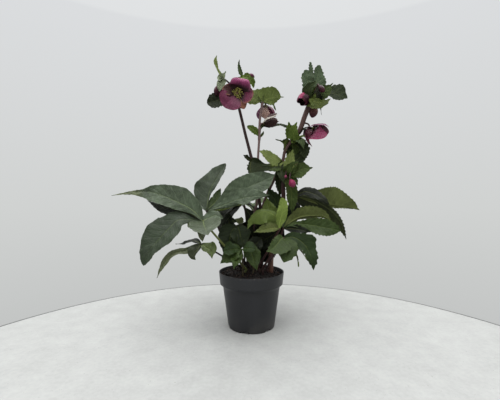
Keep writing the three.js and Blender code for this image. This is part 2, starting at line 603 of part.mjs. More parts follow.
// Soil: fills the pot, with a low mound of rough compost on top.
function soilSolid() {
  const random = randomFrom(soil.seed);
  const shoulder = pot.height - pot.bandHeight - pot.shoulderDrop;
  const gap = pot.wall + clearance + soil.gap;
  const bandFoot = pot.height - pot.bandHeight + pot.wall;
  const bandInner = pot.rimRadius - pot.bandTaper - gap;
  const bandSlope = pot.bandTaper / pot.bandHeight;
  const edgeRadius = bandInner + bandSlope * (soil.edge - bandFoot);
  const floorTop = pot.recess + pot.floor + clearance;
  const levels = [
    [pot.baseRadius - gap, floorTop], [pot.shoulderRadius - gap, shoulder + pot.wall],
    [bandInner, bandFoot], [edgeRadius, soil.edge],
  ];
  const ring = (radius, height, bump) => {
    const points = [];
    for (let k = 0; k < pot.sides; k++) {
      const angle = 2 * Math.PI * k / pot.sides;
      const lift = bump * (2 * random() - 1);
      points.push(new THREE.Vector3(radius * Math.cos(angle), radius * Math.sin(angle), height + lift));
    }
    return points;
  };
  const rings = levels.map(([radius, height]) => ring(radius, height, 0));
  for (const radius of [...soil.rings].reverse()) {
    const height = soil.edge + soil.rise * (1 - (radius / edgeRadius) ** 2);
    rings.push(ring(radius, height, soil.bump));
  }
  rings.push(ring(soil.peak, soilTop, 0));
  return toSolid(skin(rings));
}

// What stands in the soil stands straight up from the foot of its hole to just above the mound.
function rootPoints([x, y]) {
  const heights = [soilTop - soil.rootDepth, soilTop + root.collar, soilTop + root.straight];
  return heights.map((z) => new THREE.Vector3(x, y, z));
}

// A plain six-sided hole that clears a root of this radius all round.
function rootHole([x, y], radius) {
  const low = new THREE.Vector3(x, y, soilTop - soil.rootDepth - clearance);
  const wide = (radius + clearance) / Math.cos(Math.PI / root.holeSides);
  return rod([low, new THREE.Vector3(x, y, soilTop + root.holeTop)], [wide, wide], root.holeSides, 1);
}

function leafStalk(leaf) {
  const points = [...rootPoints(leaf.root), ...leaf.bend.map(vector), vector(leaf.hub)];
  const thin = points.map((point, place) => leaf.stalk * (1 - leafTaper * place / (points.length - 1)));
  return rod(points, thin, leafStalkSides, 2, 0, 2);
}

function leafSolid(leaf) {
  const hub = vector(leaf.hub);
  const girth = leaf.stalk * knot.share + knot.extra;
  const middle = new THREE.OctahedronGeometry(girth);
  middle.translate(hub.x, hub.y, hub.z);
  const sheets = leaf.leaflets.map((leaflet) => {
    const start = vector(leaflet.tip).sub(hub).setLength(girth * knot.bladeStart).add(hub);
    return blade(start, leaflet, 'leaflet');
  });
  return tidy(fuse([leafStalk(leaf), toSolid(middle), ...sheets]));
}

// A side stalk ends square on its flower, a clearance short of the seat's back.
function seatBack(flower) {
  return flower.long ? -budOutline[0][0] * flower.long : seat.back;
}

function sideStalk(stalk, grow = 0) {
  const flower = blooms[stalk.to] ?? buds[stalk.to];
  const look = vector(flower.look).normalize();
  const at = vector(flower.at);
  const end = at.clone().addScaledVector(look, -seatBack(flower) - stalkEnd);
  const before = end.clone().addScaledVector(look, -stalk.radius * 2);
  const points = [vector(stalk.from), ...stalk.bend.map(vector), before, end];
  const radii = points.map(() => stalk.radius);
  return rod(points, radii, sideStalkSides, 2, grow);
}

function stemSolid(stem, grow = 0) {
  const points = [...rootPoints(stem.root), ...stem.path.map(vector)];
  const foot = stem.path[0][3] + root.swell;
  const radii = [foot, foot, foot, ...stem.path.map((row) => row[3])];
  const main = rod(points, radii, stemSides, 1, grow);
  return tidy(fuse([main, ...stem.side.map((stalk) => sideStalk(stalk, grow))]));
}

// Bracts grow from a ring round the stem, which is bored for the stem with a clearance all round.
function whorlSolid(whorl) {
  const at = vector(whorl.at);
  const along = vector(whorl.along).normalize();
  const ends = [-whorlRing.half, whorlRing.half].map((length) => at.clone().addScaledVector(along, length));
  const sheets = whorl.bracts.map((bract) => {
    const outward = vector(bract.tip).sub(at);
    outward.addScaledVector(along, -outward.dot(along)).normalize();
    return blade(at.clone().addScaledVector(outward, whorl.ring + whorlRing.bladeStart), bract, 'bract');
  });
  const outer = whorl.ring + whorlRing.wall;
  const ring = rod(ends, [outer, outer], whorlRing.sides, 1);
  const bore = stemSolid(stems[whorl.stem], clearance + sliver);
  return tidy(largest(fuse([ring, ...sheets]).subtract(bore)));
}

// Two unit vectors square to the way a flower looks, the first as level as it can be.
function squareTo(look) {
  const level = new THREE.Vector3(0, 0, 1).cross(look);
  if (level.length() < 0.01) level.set(1, 0, 0);
  level.normalize();
  return [level, new THREE.Vector3().crossVectors(look, level)];
}

// Sepals stand round the seat like a pinwheel, each with one edge over its neighbour.
function sepalBlade(flower, count, place, long, wide) {
  const look = vector(flower.look).normalize();
  const [level, upright] = squareTo(look);
  const angle = (flower.turn + 360 * place / count) * Math.PI / 180;
  const outward = level.clone().multiplyScalar(Math.cos(angle)).addScaledVector(upright, Math.sin(angle));
  const round = new THREE.Vector3().crossVectors(look, outward);
  const open = flower.open * Math.PI / 180;
  const start = vector(flower.at).addScaledVector(outward, seat.sepalStart);
  const tip = vector(flower.at).addScaledVector(look, long * Math.cos(open));
  tip.addScaledVector(outward, long * Math.sin(open));
  const face = look.clone().multiplyScalar(Math.sin(open)).addScaledVector(outward, -Math.cos(open));
  face.addScaledVector(round, seat.lean);
  const bend = { arch: -flower.bowl, cup: flower.cup, roll: flower.roll };
  const spec = { tip: tip.toArray(), face: face.toArray(), wide, ...bend };
  return blade(start, spec, wide < largeSepal ? 'smallSepal' : 'sepal');
}

function bloomSolid(bloom) {
  const look = vector(bloom.look).normalize();
  const back = vector(bloom.at).addScaledVector(look, -seatBack(bloom));
  const front = vector(bloom.at).addScaledVector(look, seat.front);
  const cone = rod([back, front], [seat.foot, seat.lip], seat.sides, 1);
  const sheets = bloom.sepals.map(([long, wide], place) => (
    sepalBlade(bloom, bloom.sepals.length, place, long, wide)));
  return tidy(fuse([cone, ...sheets]));
}

// Stamens: a boss with a ring of rods that widen into anthers, and the pistils together in the middle.
function stamenSolid(bloom) {
  const look = vector(bloom.look).normalize();
  const [level, upright] = squareTo(look);
  const back = vector(bloom.at).addScaledVector(look, seat.front + stalkEnd);
  const front = back.clone().addScaledVector(look, boss.length);
  const foot = back.clone().addScaledVector(look, boss.rodDepth);
  const middle = foot.clone().addScaledVector(look, bloom.reach);
  const rods = [rod([back, front], [boss.foot, boss.lip], boss.sides, 1)];
  rods.push(rod([foot, middle], [pistil.foot, pistil.head], pistil.sides, 1));
  for (let k = 0; k < bloom.anthers; k++) {
    const angle = 2 * Math.PI * k / bloom.anthers;
    const outward = level.clone().multiplyScalar(Math.cos(angle)).addScaledVector(upright, Math.sin(angle));
    const reach = bloom.reach - anther.shorter * (k % 2);
    const start = foot.clone().addScaledVector(outward, anther.start);
    const end = foot.clone().addScaledVector(outward, bloom.spread).addScaledVector(look, reach);
    rods.push(rod([start, end], [anther.foot, anther.head], anther.sides, 1));
  }
  return tidy(fuse(rods));
}

// Bud: an egg whose skin is the wrapped sepals, each edge a step that winds round it.
function budSolid(bud) {
  const look = vector(bud.look).normalize();
  const [level, upright] = squareTo(look);
  const rings = budOutline.map(([part, girth]) => {
    const centre = vector(bud.at).addScaledVector(look, bud.long * part);
    const points = [];
    for (let k = 0; k < budFold.points; k++) {
      const angle = 2 * Math.PI * k / budFold.points + budFold.wind * part + bud.turn * Math.PI / 180;
      const radius = bud.wide / 2 * girth * (1 - budFold.step * (k % budFold.sepals));
      const point = centre.clone().addScaledVector(level, radius * Math.cos(angle));
      points.push(point.addScaledVector(upright, radius * Math.sin(angle)));
    }
    return points;
  });
  return toSolid(skin(rings));
}

const plant = new THREE.Group();

function place(name, solid, colour, roughness) {
  const material = new THREE.MeshStandardMaterial({ color: colour, roughness, metalness: 0 });
  const mesh = new THREE.Mesh(toGeometry(solid), material);
  mesh.name = name;
  plant.add(mesh);
}

place('pot', potSolid(), colours.pot, 0.55);

const holes = [
  ...Object.values(leaves).map((leaf) => rootHole(leaf.root, leaf.stalk)),
  ...Object.values(stems).map((stem) => rootHole(stem.root, stem.path[0][3] + root.swell)),
];
place('soil', soilSolid().subtract(fuse(holes)), colours.soil, 0.95);

for (const [name, leaf] of Object.entries(leaves)) {
  const colour = name.startsWith('leaf_left') ? colours.greyLeaf : colours.leaf;
  place(name, leafSolid(leaf), colour, 0.5);
}
for (const [name, stem] of Object.entries(stems)) {
  place(name, stemSolid(stem), colours.stem, 0.6);
}
for (const [name, whorl] of Object.entries(whorls)) {
  place(name, whorlSolid(whorl), colours.bract, 0.5);
}
for (const [name, bloom] of Object.entries(blooms)) {
  place(name, bloomSolid(bloom), colours.sepal, 0.5);
  place(name.replace('bloom', 'stamens'), stamenSolid(bloom), colours.stamen, 0.6);
}
for (const [name, bud] of Object.entries(buds)) {
  place(name, budSolid(bud), colours.sepal, 0.5);
}

export default plant;
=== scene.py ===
import bpy
import numpy as np
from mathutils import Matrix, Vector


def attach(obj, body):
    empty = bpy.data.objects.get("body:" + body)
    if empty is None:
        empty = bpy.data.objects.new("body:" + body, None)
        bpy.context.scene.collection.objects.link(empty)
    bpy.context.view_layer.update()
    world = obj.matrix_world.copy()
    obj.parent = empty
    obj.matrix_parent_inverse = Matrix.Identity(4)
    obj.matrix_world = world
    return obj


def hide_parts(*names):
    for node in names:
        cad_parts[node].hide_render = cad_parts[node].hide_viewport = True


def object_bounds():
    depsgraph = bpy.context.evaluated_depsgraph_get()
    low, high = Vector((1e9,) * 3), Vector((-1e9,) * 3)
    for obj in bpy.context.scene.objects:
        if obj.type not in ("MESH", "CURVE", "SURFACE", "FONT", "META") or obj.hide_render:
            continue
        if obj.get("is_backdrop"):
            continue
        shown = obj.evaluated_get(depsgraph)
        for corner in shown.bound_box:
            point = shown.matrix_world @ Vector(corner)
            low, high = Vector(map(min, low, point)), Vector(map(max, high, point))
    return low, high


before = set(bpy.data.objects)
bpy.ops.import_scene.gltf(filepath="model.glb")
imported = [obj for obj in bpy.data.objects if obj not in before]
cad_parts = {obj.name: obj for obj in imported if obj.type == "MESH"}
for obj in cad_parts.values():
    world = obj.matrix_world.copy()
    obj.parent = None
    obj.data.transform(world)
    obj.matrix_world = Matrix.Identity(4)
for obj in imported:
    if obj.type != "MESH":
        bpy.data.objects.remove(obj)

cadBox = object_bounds()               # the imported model's own box, kept for the size table
toMetres = 0.001                   # every table and surface below is in millimetres
chance = np.random.default_rng(23)
upward = np.array([0.0, 0.0, 1.0])
fullTurn = 2 * np.pi
print("frame loaded:", len(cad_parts), "nodes")


# sums on rows of vectors


def vec(values):
    return np.array(values, dtype=float)


# each vector divided by its own length
def unit(v):
    return v / np.maximum(np.linalg.norm(v, axis=-1, keepdims=True), 1e-9)


# the part of v that stands square to axis, made one long
def squareTo(v, axis):
    return unit(v - (v * axis).sum(-1, keepdims=True) * axis)


# nought below low, one above high, and the curve 3t^2 - 2t^3 between
def eased(x, low, high):
    t = np.clip((x - low) / (high - low), 0, 1)
    return t * t * (3 - 2 * t)


# a bell: e to the minus square of x over wide
def bell(x, wide):
    return np.exp(-((x / wide) ** 2))


# a number from 0 to 1 that looks random: what a large multiple of a sine has after its point
def scattered(seed):
    n = np.sin(seed) * 43758.5453
    return n - np.floor(n)


# smooth random numbers from -1 to 1 over a plane: lattice values joined by eased steps
def lumps(x, y, seed=0):
    xi, yi = np.floor(x).astype(int), np.floor(y).astype(int)
    fx, fy = eased(x - xi, 0, 1), eased(y - yi, 0, 1)

    def corner(i, j):
        return 2 * scattered(i * 127.1 + j * 311.7 + seed * 74.7) - 1

    low = corner(xi, yi) * (1 - fx) + corner(xi + 1, yi) * fx
    high = corner(xi, yi + 1) * (1 - fx) + corner(xi + 1, yi + 1) * fx
    return low * (1 - fy) + high * fy


# a screen colour of 0 to 255 as the linear light a shader works in
def screen(colour):
    c = vec(colour) / 255
    return np.where(c <= 0.04045, c / 12.92, ((c + 0.055) / 1.055) ** 2.4)


# a table of named screen colours
def paints(**colours):
    return {name: screen(colour) for name, colour in colours.items()}


# finishes: sums of sockets become nodes


# a sign between wires and its reflected form, for one Math operation
def signs(operation):
    return (lambda self, other: self.math(operation, self, other),
            lambda self, other: self.math(operation, other, self))


class Wire:
    # wraps one socket, so that a sum on it adds its Math node
    def __init__(self, finish, socket):
        self.finish, self.socket = finish, socket

    def math(self, operation, *values):
        return self.finish.node("Math", {"operation": operation}, dict(enumerate(values)))

    __add__, __radd__ = signs("ADD")
    __sub__, __rsub__ = signs("SUBTRACT")
    __mul__, __rmul__ = signs("MULTIPLY")
    __truediv__, __rtruediv__ = signs("DIVIDE")
    __pow__, __rpow__ = signs("POWER")

    def __abs__(self):
        return self.math("ABSOLUTE", self)

    # how far the value is from the nearest whole number, 0 to 0.5
    def fromWhole(self):
        return abs(self.math("FRACT", self) - 0.5) * -1 + 0.5

    # 0 where the value is under low, 1 over high
    def over(self, low, high, ends=(0.0, 1.0)):
        sockets = dict(enumerate([self, low, high, *ends]))
        return self.finish.node("MapRange", {"interpolation_type": "SMOOTHSTEP"}, sockets)

    # 1 where the value is under low, 0 over high
    def under(self, low, high):
        return self.over(low, high, (1.0, 0.0))


class Finish:
    # one material: a Principled shader and the nodes that feed it
    def __init__(self, name, shine):
        self.material = bpy.data.materials.new(name)
        self.material.use_nodes = True
        self.tree = self.material.node_tree
        self.tree.nodes.clear()
        self.shader = self.tree.nodes.new("ShaderNodeBsdfPrincipled")
        output = self.tree.nodes.new("ShaderNodeOutputMaterial")
        self.tree.links.new(self.shader.outputs[0], output.inputs["Surface"])
        self.shader.inputs["Specular IOR Level"].default_value = shine

    # gives the shader its colour and roughness and, where there is any, its relief,
    # which is a height, a strength and a distance
    def wear(self, colour, rough, *relief):
        sockets = {"Base Color": colour, "Roughness": rough}
        if relief:
            sockets["Normal"] = self.node("Bump", {}, dict(zip(("Height", "Strength", "Distance"), relief)))
        for label, value in sockets.items():
            self.feed(self.shader.inputs[label], value)
        return self.material

    def feed(self, socket, value):
        if isinstance(value, Wire):
            self.tree.links.new(value.socket, socket)
        elif socket.type == "RGBA":
            socket.default_value = (*value, 1.0)
        else:
            socket.default_value = value

    # any node: its type, its settings, which are set first, then its sockets
    def node(self, kind, settings, inputs, output=0):
        made = self.tree.nodes.new("ShaderNode" + kind)
        for key, value in settings.items():
            setattr(made, key, value)
        for key, value in inputs.items():
            self.feed(made.inputs[key], value)
        return Wire(self, made.outputs[output])

    # colour a, with share of colour b laid over it
    def blend(self, share, a, b):
        return self.node("Mix", {"data_type": "RGBA", "clamp_result": False}, {0: share, 6: a, 7: b}, 2)

    # a colour made lighter or darker by a number that varies
    def scaled(self, colour, by):
        return self.node("VectorMath", {"operation": "SCALE"}, {0: colour, 3: by})

    def noise(self, scale, detail, where=None):
        return self.node("TexNoise", {}, {"Scale": scale, "Detail": detail, "Vector": where or self.place()})

    # where a point is on its object, in metres
    def place(self):
        return self.node("TexCoord", {}, {}, 3)

    # the same with its height drawn out, so that a noise there runs upright
    def stretched(self, share):
        return self.node("Mapping", {}, {0: self.place(), 3: (1, 1, share)})

    def attribute(self, name):
        return self.node("Attribute", {"attribute_name": name}, {})

    # the three numbers of a blade's tone: its own, its side and its width
    def tone(self):
        colour = self.attribute("tone")
        return [self.node("SeparateColor", {}, {0: colour}, k) for k in range(3)]

    # the two numbers of a surface's map
    def mapped(self):
        uv = self.node("UVMap", {"uv_map": "surfaceMap"}, {})
        return [self.node("SeparateXYZ", {}, {0: uv}, k) for k in range(2)]


# surfaces laid into a mesh


# a new object in the scene that holds the data
def placed(name, data):
    made = bpy.data.objects.new(name, data)
    bpy.context.scene.collection.objects.link(made)
    return made


# faces of two grids of rows x columns that close each other: the top as it stands,
# the bottom turned over, and a wall along each edge that has no kept cell beyond it
def slabFaces(rows, columns, keep=None, wrapped=False):
    keep = np.ones((rows - 1, columns - 1), bool) if keep is None else keep
    i, j = np.nonzero(keep)

    def corner(down, along):
        return (i + down) * columns + (j + along) % columns

    a, b, c, d = corner(0, 0), corner(0, 1), corner(1, 1), corner(1, 0)
    below = rows * columns
    ringed = np.pad(keep, 1)
    if wrapped:
        ringed[1:-1, 0], ringed[1:-1, -1] = keep[:, -1], keep[:, 0]
    faces = [np.stack([a, b, c, d], 1), np.stack([d, c, b, a], 1) + below]
    for p, q, down, along in ((a, b, -1, 0), (b, c, 0, 1), (c, d, 1, 0), (d, a, 0, -1)):
        free = ~ringed[i + 1 + down, j + 1 + along]
        p, q = p[free], q[free]
        faces.append(np.stack([q, p, p + below, q + below], 1))
    return faces


# faces of a grid whose columns close on themselves, with a flat face at each end
def tubeFaces(rows, columns):
    i, j = [k.ravel() for k in np.meshgrid(np.arange(rows - 1) * columns, np.arange(columns), indexing="ij")]
    after = (j + 1) % columns
    quads = np.stack([i + j, i + after, i + columns + after, i + columns + j], 1)
    first = np.arange(columns)[None, ::-1]
    return [quads, first, first[:, ::-1] + (rows - 1) * columns]


class Piece:
    # gathers surfaces in millimetres, then lays them into one mesh in metres
    def __init__(self, name, slot, finishes, nodes):
        self.name, self.slot, self.finishes, self.nodes = name, slot, finishes, nodes
        self.points, self.faces, self.looks = [], [], []
        self.maps, self.tints, self.tones = [], [], []
        self.count = 0

    # a map gives two numbers a point, a tint its colour, a tone three spare numbers
    def add(self, points, faces, look, where=None, tint=(1, 1, 1), tone=(0.5, 1, 0.2)):
        points = points.reshape(-1, 3)
        n = len(points)
        self.points.append(points)
        self.maps.append(np.zeros((n, 2)) if where is None else where.reshape(-1, 2))
        for layer, rows in ((self.tints, tint), (self.tones, tone)):
            layer.append(np.broadcast_to(vec(rows).reshape(-1, 3), (n, 3)))
        for group in faces:
            self.faces.append(group + self.count)
            self.looks.append(np.full(len(group), look))
        self.count += n

    # a tube or turned form, with its ends closed
    def addRound(self, made, look, tint):
        points, where = made
        self.add(points, tubeFaces(*points.shape[:2]), look, where, tint)

    def lay(self, sharp=50):
        corners = np.concatenate([group.ravel() for group in self.faces])
        sizes = np.concatenate([np.full(len(group), group.shape[1]) for group in self.faces])
        used, corners = np.unique(corners, return_inverse=True)    # a point of no face is dropped
        mesh = bpy.data.meshes.new(self.name)
        mesh.vertices.add(len(used))
        mesh.vertices.foreach_set("co", (np.concatenate(self.points) * toMetres)[used].ravel())
        mesh.loops.add(len(corners))
        mesh.loops.foreach_set("vertex_index", corners.astype(np.int32))
        mesh.polygons.add(len(sizes))
        starts = np.cumsum(sizes) - sizes
        mesh.polygons.foreach_set("loop_start", starts.astype(np.int32))
        mesh.update(calc_edges=True)
        where = mesh.uv_layers.new(name="surfaceMap")
        where.data.foreach_set("uv", np.concatenate(self.maps)[used][corners].ravel())
        for name, rows in (("tint", self.tints), ("tone", self.tones)):
            layer = mesh.attributes.new(name, "FLOAT_COLOR", "POINT")
            rows = np.concatenate(rows)[used]
            layer.data.foreach_set("color", np.column_stack([rows, np.ones(len(rows))]).ravel())
        for finish in self.finishes:
            mesh.materials.append(finish)
        mesh.polygons.foreach_set("material_index", np.concatenate(self.looks).astype(np.int32))
        mesh.polygons.foreach_set("use_smooth", np.ones(len(sizes), bool))
        mesh.set_sharp_from_angle(angle=np.radians(sharp))
        mesh.validate()
        made = placed(self.name, mesh)
        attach(made, "root")
        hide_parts(*self.nodes)


# the curve that passes through every row of values, t rows from the first (uniform Catmull-Rom):
# a cubic of the two rows before t and the two after it, with a straight run added at each end
def through(values, t):
    p = vec(values)
    p = np.concatenate([2 * p[:1] - p[1:2], p, 2 * p[-1:] - p[-2:-1]])
    k = np.minimum(t.astype(int), len(values) - 2)
    f = (t - k).reshape(t.shape + (1,) * (p.ndim - 1))
    a, b, c, d = p[k], p[k + 1], p[k + 2], p[k + 3]
    return 0.5 * (2 * b + (c - a) * f + (2 * a - 5 * b + 4 * c - d) * f**2 + (3 * b - a - 3 * c + d) * f**3)


# how far each point of a path lies from its start
def runAlong(path):
    return np.concatenate([[0], np.cumsum(np.linalg.norm(np.diff(path, axis=0), axis=1))])


# that curve at points evenly spaced along it; columns after the third, such as a radius, are
# carried along with it
def alongCurve(points, count):
    t = np.linspace(0, len(points) - 1, 400)
    run = runAlong(through(points, t)[:, :3])
    return through(points, np.interp(np.linspace(0, run[-1], count), run, t))


# rings of points: middle + radius x (side cos + up sin), and their map, the steps given along
# and the share of a turn round
def rings(middle, side, up, radius, steps):
    angle = np.linspace(0, fullTurn, radius.shape[1], endpoint=False)
    spoke = side * np.cos(angle)[:, None] + up * np.sin(angle)[:, None]
    return middle + radius[..., None] * spoke, np.stack(np.broadcast_arrays(steps, angle / fullTurn), -1)


# a round tube whose side and up stand square to the path and follow a fixed direction;
# bulge(run, angle) is added to the radius
def tube(path, radii, sides, bulge=None):
    tangent = unit(np.gradient(path, axis=0))
    guide = np.eye(3)[np.argmin(np.abs(tangent).max(axis=0))]
    side = squareTo(guide, tangent)
    run = runAlong(path)[:, None]
    radius = np.broadcast_to(vec(radii), len(path))[:, None] + np.zeros(sides)
    if bulge:
        radius = radius + bulge(run, np.linspace(0, fullTurn, sides, endpoint=False))
    return rings(path[:, None], side[:, None], np.cross(tangent, side)[:, None], radius, run)


# a closed round form: for each (length along, radius) of the outline a ring square to look
def turnedForm(at, look, outline, sides, shape=1.0):
    look, outline = unit(vec(look)), vec(outline)
    level = squareTo(np.eye(3)[np.argmin(np.abs(look))], look)
    radius = (outline[:, 1:] + np.zeros(sides)) * shape
    steps = np.linspace(0, 1, len(outline))[:, None]
    return rings(vec(at) + look * outline[:, :1, None], level, np.cross(look, level), radius, steps)


# a sheet with two sides: the middle surface moved half its thickness each way along its
# normal; ridge is a second thickness that only the under side gets
def sheet(middle, thick, ridge):
    normal = unit(np.cross(np.gradient(middle, axis=1), np.gradient(middle, axis=0)))
    return np.stack([middle + normal * thick[..., None] / 2,
                     middle - normal * (thick / 2 + ridge)[..., None]])


# blades: leaflets, bracts and sepals

# rise, fall, stalk, neck and end shape the plain outline; teeth are so many millimetres apart and
# deep and start at toothFrom; veins are side veins a blade; quilt, wave and ruffle lift the surface;
# clasp is how wide the foot holds its stem, as far as claspReach along it, and claspFold how many
# degrees it folds up there; blunt rounds the tip of a measured outline; lengths are in millimetres;
# loose is where quilt and ruffle set in, taut how near the tip they end; side veins run forward by
# veinLean x reach^veinCurve; groove is how deep and wide a leaflet dips over its rib and how much
# of that is lost by the tip; a tooth takes perTooth rows, a blade without teeth plainRows; crowd
# draws columns to the rib
bladeBase = {"roll": 14, "folds": (12, 12), "clasp": 0, "claspReach": 0.22, "claspFold": 70,
             "toothShare": (0.35, 1.25), "toothEase": 0.2, "ruffleLength": 3.1, "bumpLength": 9,
             "bump": 0.9, "veinLean": 1.7, "veinCurve": 0.85, "loose": (0.1, 0.35), "taut": 0.1,
             "groove": (0.8, 1.4, 0.7), "ridgeWide": 1.0, "ridgeFade": 0.75, "rimThin": 0.6,
             "perTooth": 4, "plainRows": 27, "crowd": 1.25, "ribSteps": 80}
bladeShape = {
    "leaflet": {**bladeBase, "rise": 1.1, "fall": 0.8, "stalk": 0.08, "neck": 1.0, "end": 0.15,
                "toothPitch": 7.5, "toothDepth": 2.6, "toothFrom": 0.2, "veins": 9, "quilt": 0.9,
                "wave": 1.8, "ruffle": 0.9, "thick": 0.45, "ridge": 0.9, "columns": 19, "blunt": 20},
    "bract": {**bladeBase, "rise": 0.8, "fall": 0.7, "stalk": 0.02, "neck": 1.2, "end": 0.2,
              "toothPitch": 7.0, "toothDepth": 4.0, "toothFrom": 0.12, "veins": 6, "quilt": 0.7,
              "wave": 1.0, "ruffle": 1.0, "thick": 0.45, "ridge": 0.5, "columns": 15, "blunt": 9},
    "sepal": {**bladeBase, "rise": 0.55, "fall": 0.36, "stalk": 0, "neck": 1.8, "end": 0.3,
              "toothPitch": 0, "toothDepth": 0, "toothFrom": 1, "veins": 7, "quilt": 0.12,
              "wave": 0.5, "ruffle": 0.5, "thick": 0.5, "ridge": 0.1, "columns": 21, "blunt": 6},
}
fullWidth = 30                     # blades narrower than this have smaller teeth and waves
measuredRoll = 8                   # degrees that the halves of a bract or sepal with a rib roll up


# a blade measured along its rib: the points it passes, the way it faces, how many degrees its left
# and right halves fold up, and their widths at even steps, the right as the left where none is given
def blade(rib, face, folds, left, right=None, tint=None, **more):
    right = right or left
    wide = max(left) + max(right)
    if tint:
        more["tint"] = tint
    return {"rib": rib, "face": face, "folds": folds, "left": left, "right": right, "wide": wide, **more}


# a blade with the plain outline of its kind, from its foot to its tip
def freeBlade(tip, face, wide, arch=0, **more):
    return {"tip": tip, "face": face, "wide": wide, "arch": arch, **more}


# the first point that a blade heads for
def heading(spec):
    return vec(spec["rib"][0] if "rib" in spec else spec["tip"])


# both sides of a blade. Its rib passes through the points measured, or is a quadratic curve from
# start to tip whose knee lies 2 arch along its face; each half stands out from the rib by
# v x half width, folded up by fold + roll v / 2 degrees; a plain half width is w^rise (1 - w)^fall
def bladeSurface(start, form, kind, seed):
    wide, leafy = form["wide"], kind == "leaflet"
    tip = vec(form["rib"][-1] if "rib" in form else form["tip"])
    face = squareTo(vec(form["face"]), unit(tip - start))
    length = np.linalg.norm(tip - start)
    grown = min(wide / fullWidth, 1)
    if form["toothPitch"]:
        perTooth = form["perTooth"]
        rows = max(int(length / (form["toothPitch"] * (0.7 + 0.3 * grown))), 5) * perTooth + 1
        u = np.linspace(0, 1, rows)
    else:
        perTooth, rows = 1, form["plainRows"]
        u = np.sin(np.linspace(0, 1, rows) * np.pi / 2) ** 0.8
    t = np.linspace(-1, 1, form["columns"])
    v = (np.sign(t) * np.abs(t) ** form["crowd"])[None]
    reach, leftHalf = np.abs(v), v < 0
    if "rib" in form:
        line = alongCurve([start, *form["rib"]], form["ribSteps"])
        even = np.linspace(0, 1, len(line))
        rib, tangent = [np.stack([np.interp(u, even, column) for column in values.T], -1)
                        for values in (line, unit(np.gradient(line, axis=0)))]
        u = u[:, None]
    else:
        u = u[:, None]
        knee = (start + tip) / 2 + 2 * form["arch"] * face
        rib = (1 - u) ** 2 * start + 2 * u * (1 - u) * knee + u**2 * tip
        tangent = 2 * (1 - u) * (knee - start) + 2 * u * (tip - knee)
    tangent = unit(tangent)
    up = squareTo(face, tangent)
    across = np.cross(tangent, up)

    if "left" in form:
        sides = [through(form[side], u * (len(form[side]) - 1)) for side in ("left", "right")]
        half = np.where(leftHalf, *sides) * (1 - u ** form["blunt"]) ** 0.5
    else:
        w = np.clip((u - form["stalk"]) / (1 - form["stalk"]), 0, 1)
        rise, fall = form["rise"], form["fall"]
        top = rise / (rise + fall)
        half = wide / 2 * w**rise * (1 - w) ** fall / (top**rise * (1 - top) ** fall)
    # each tooth grows slowly and drops at once, and is as deep as chance has it
    toothFrom = form["toothFrom"]
    saw = (np.arange(rows)[:, None] % perTooth) / perTooth
    uneven = np.repeat(chance.uniform(*form["toothShare"], (rows, 2)), perTooth, axis=0)[:rows]
    uneven = np.where(leftHalf, uneven[:, :1], uneven[:, 1:])
    depth = form["toothDepth"] * grown * uneven * eased(u, toothFrom, toothFrom + form["toothEase"])
    half = half + depth * (saw - 0.5) * (half > 2)
    sheath = form["clasp"] * (1 - eased(u, 0.0, form["claspReach"]))
    half = np.maximum(np.maximum(half, sheath), form["neck"] * (1 - u) + form["end"] * u)

    claspFold = form["claspFold"] * (sheath > 0) * (1 - eased(u, 0, 0.2))
    fold = np.where(leftHalf, *form["folds"]) + claspFold
    lean = np.radians(fold + form["roll"] * reach / 2)
    free = eased(u, *form["loose"]) * eased(1 - u, 0, form["taut"])
    lift = half * reach * np.sin(lean)
    phase = 2 * fullTurn * u + 2 * leftHalf + (0 if leafy else seed)
    lift += form["wave"] * reach**2 * np.sin(phase) * (1 if leafy else free)
    ripple = np.sin(u * length / form["ruffleLength"] + 3 * lumps(u * 5, v * 2, seed))
    lift += form["ruffle"] * grown * reach**3 * free * ripple
    # side veins lie in shallow grooves and the blade swells between them
    forward = form["veinLean"] * reach ** form["veinCurve"]
    vein = u * (form["veins"] + 1) - forward + (0.5 if seed % 2 else 0.2) * leftHalf
    swell = 0.5 - 0.5 * np.cos(fullTurn * vein)
    lift += form["quilt"] * grown * swell**0.6 * reach**0.5 * (1 - reach**2) * free
    bumps = lumps(u * length / form["bumpLength"], v * half / form["bumpLength"], seed + 3)
    lift += form["bump"] * grown * bumps * (1 - reach**3) * free
    if leafy:
        deep, broad, lost = form["groove"]
        lift -= deep * bell(half * reach, broad) * (1 - lost * u) * free
    flat = (half * v * np.cos(lean))[..., None]
    middle = rib[:, None] + flat * across[:, None] + lift[..., None] * up[:, None]
    thin = form["thick"] * (1 - form["rimThin"] * reach**6) + 0 * u
    ridge = form["ridge"] * grown * bell(half * reach, form["ridgeWide"]) * (1 - form["ridgeFade"] * u)
    return sheet(middle, thin, ridge), u, v


# puts one blade into a piece: both sides, their map, their colours and their tone,
# which is a number of its own, 1 for the upper side, and its width
def addBlade(piece, start, spec, kind, upper, under, seed):
    sides, u, v = bladeSurface(start, {**bladeShape[kind], **spec}, kind, seed)
    tone, tint = np.zeros(sides.shape), np.zeros(sides.shape)
    tone[..., 0], tone[0, ..., 1], tone[..., 2] = scattered(seed * 12.9898), 1, spec["wide"] / 100
    for side, paint in enumerate((upper, under)):
        tint[side] = paint(u, v) if callable(paint) else paint
    where = np.stack(np.broadcast_arrays(u, 0.5 + 0.5 * v), -1)
    piece.add(sides, slabFaces(*sides.shape[1:3]), 0, np.stack([where, where]), tint, tone)


# where a stalk that stands in the soil passes: straight up from its root
def rootPoints(root):
    return [[*root, soilShape["top"] + rise] for rise in (-24, 1, 8)]


# finishes

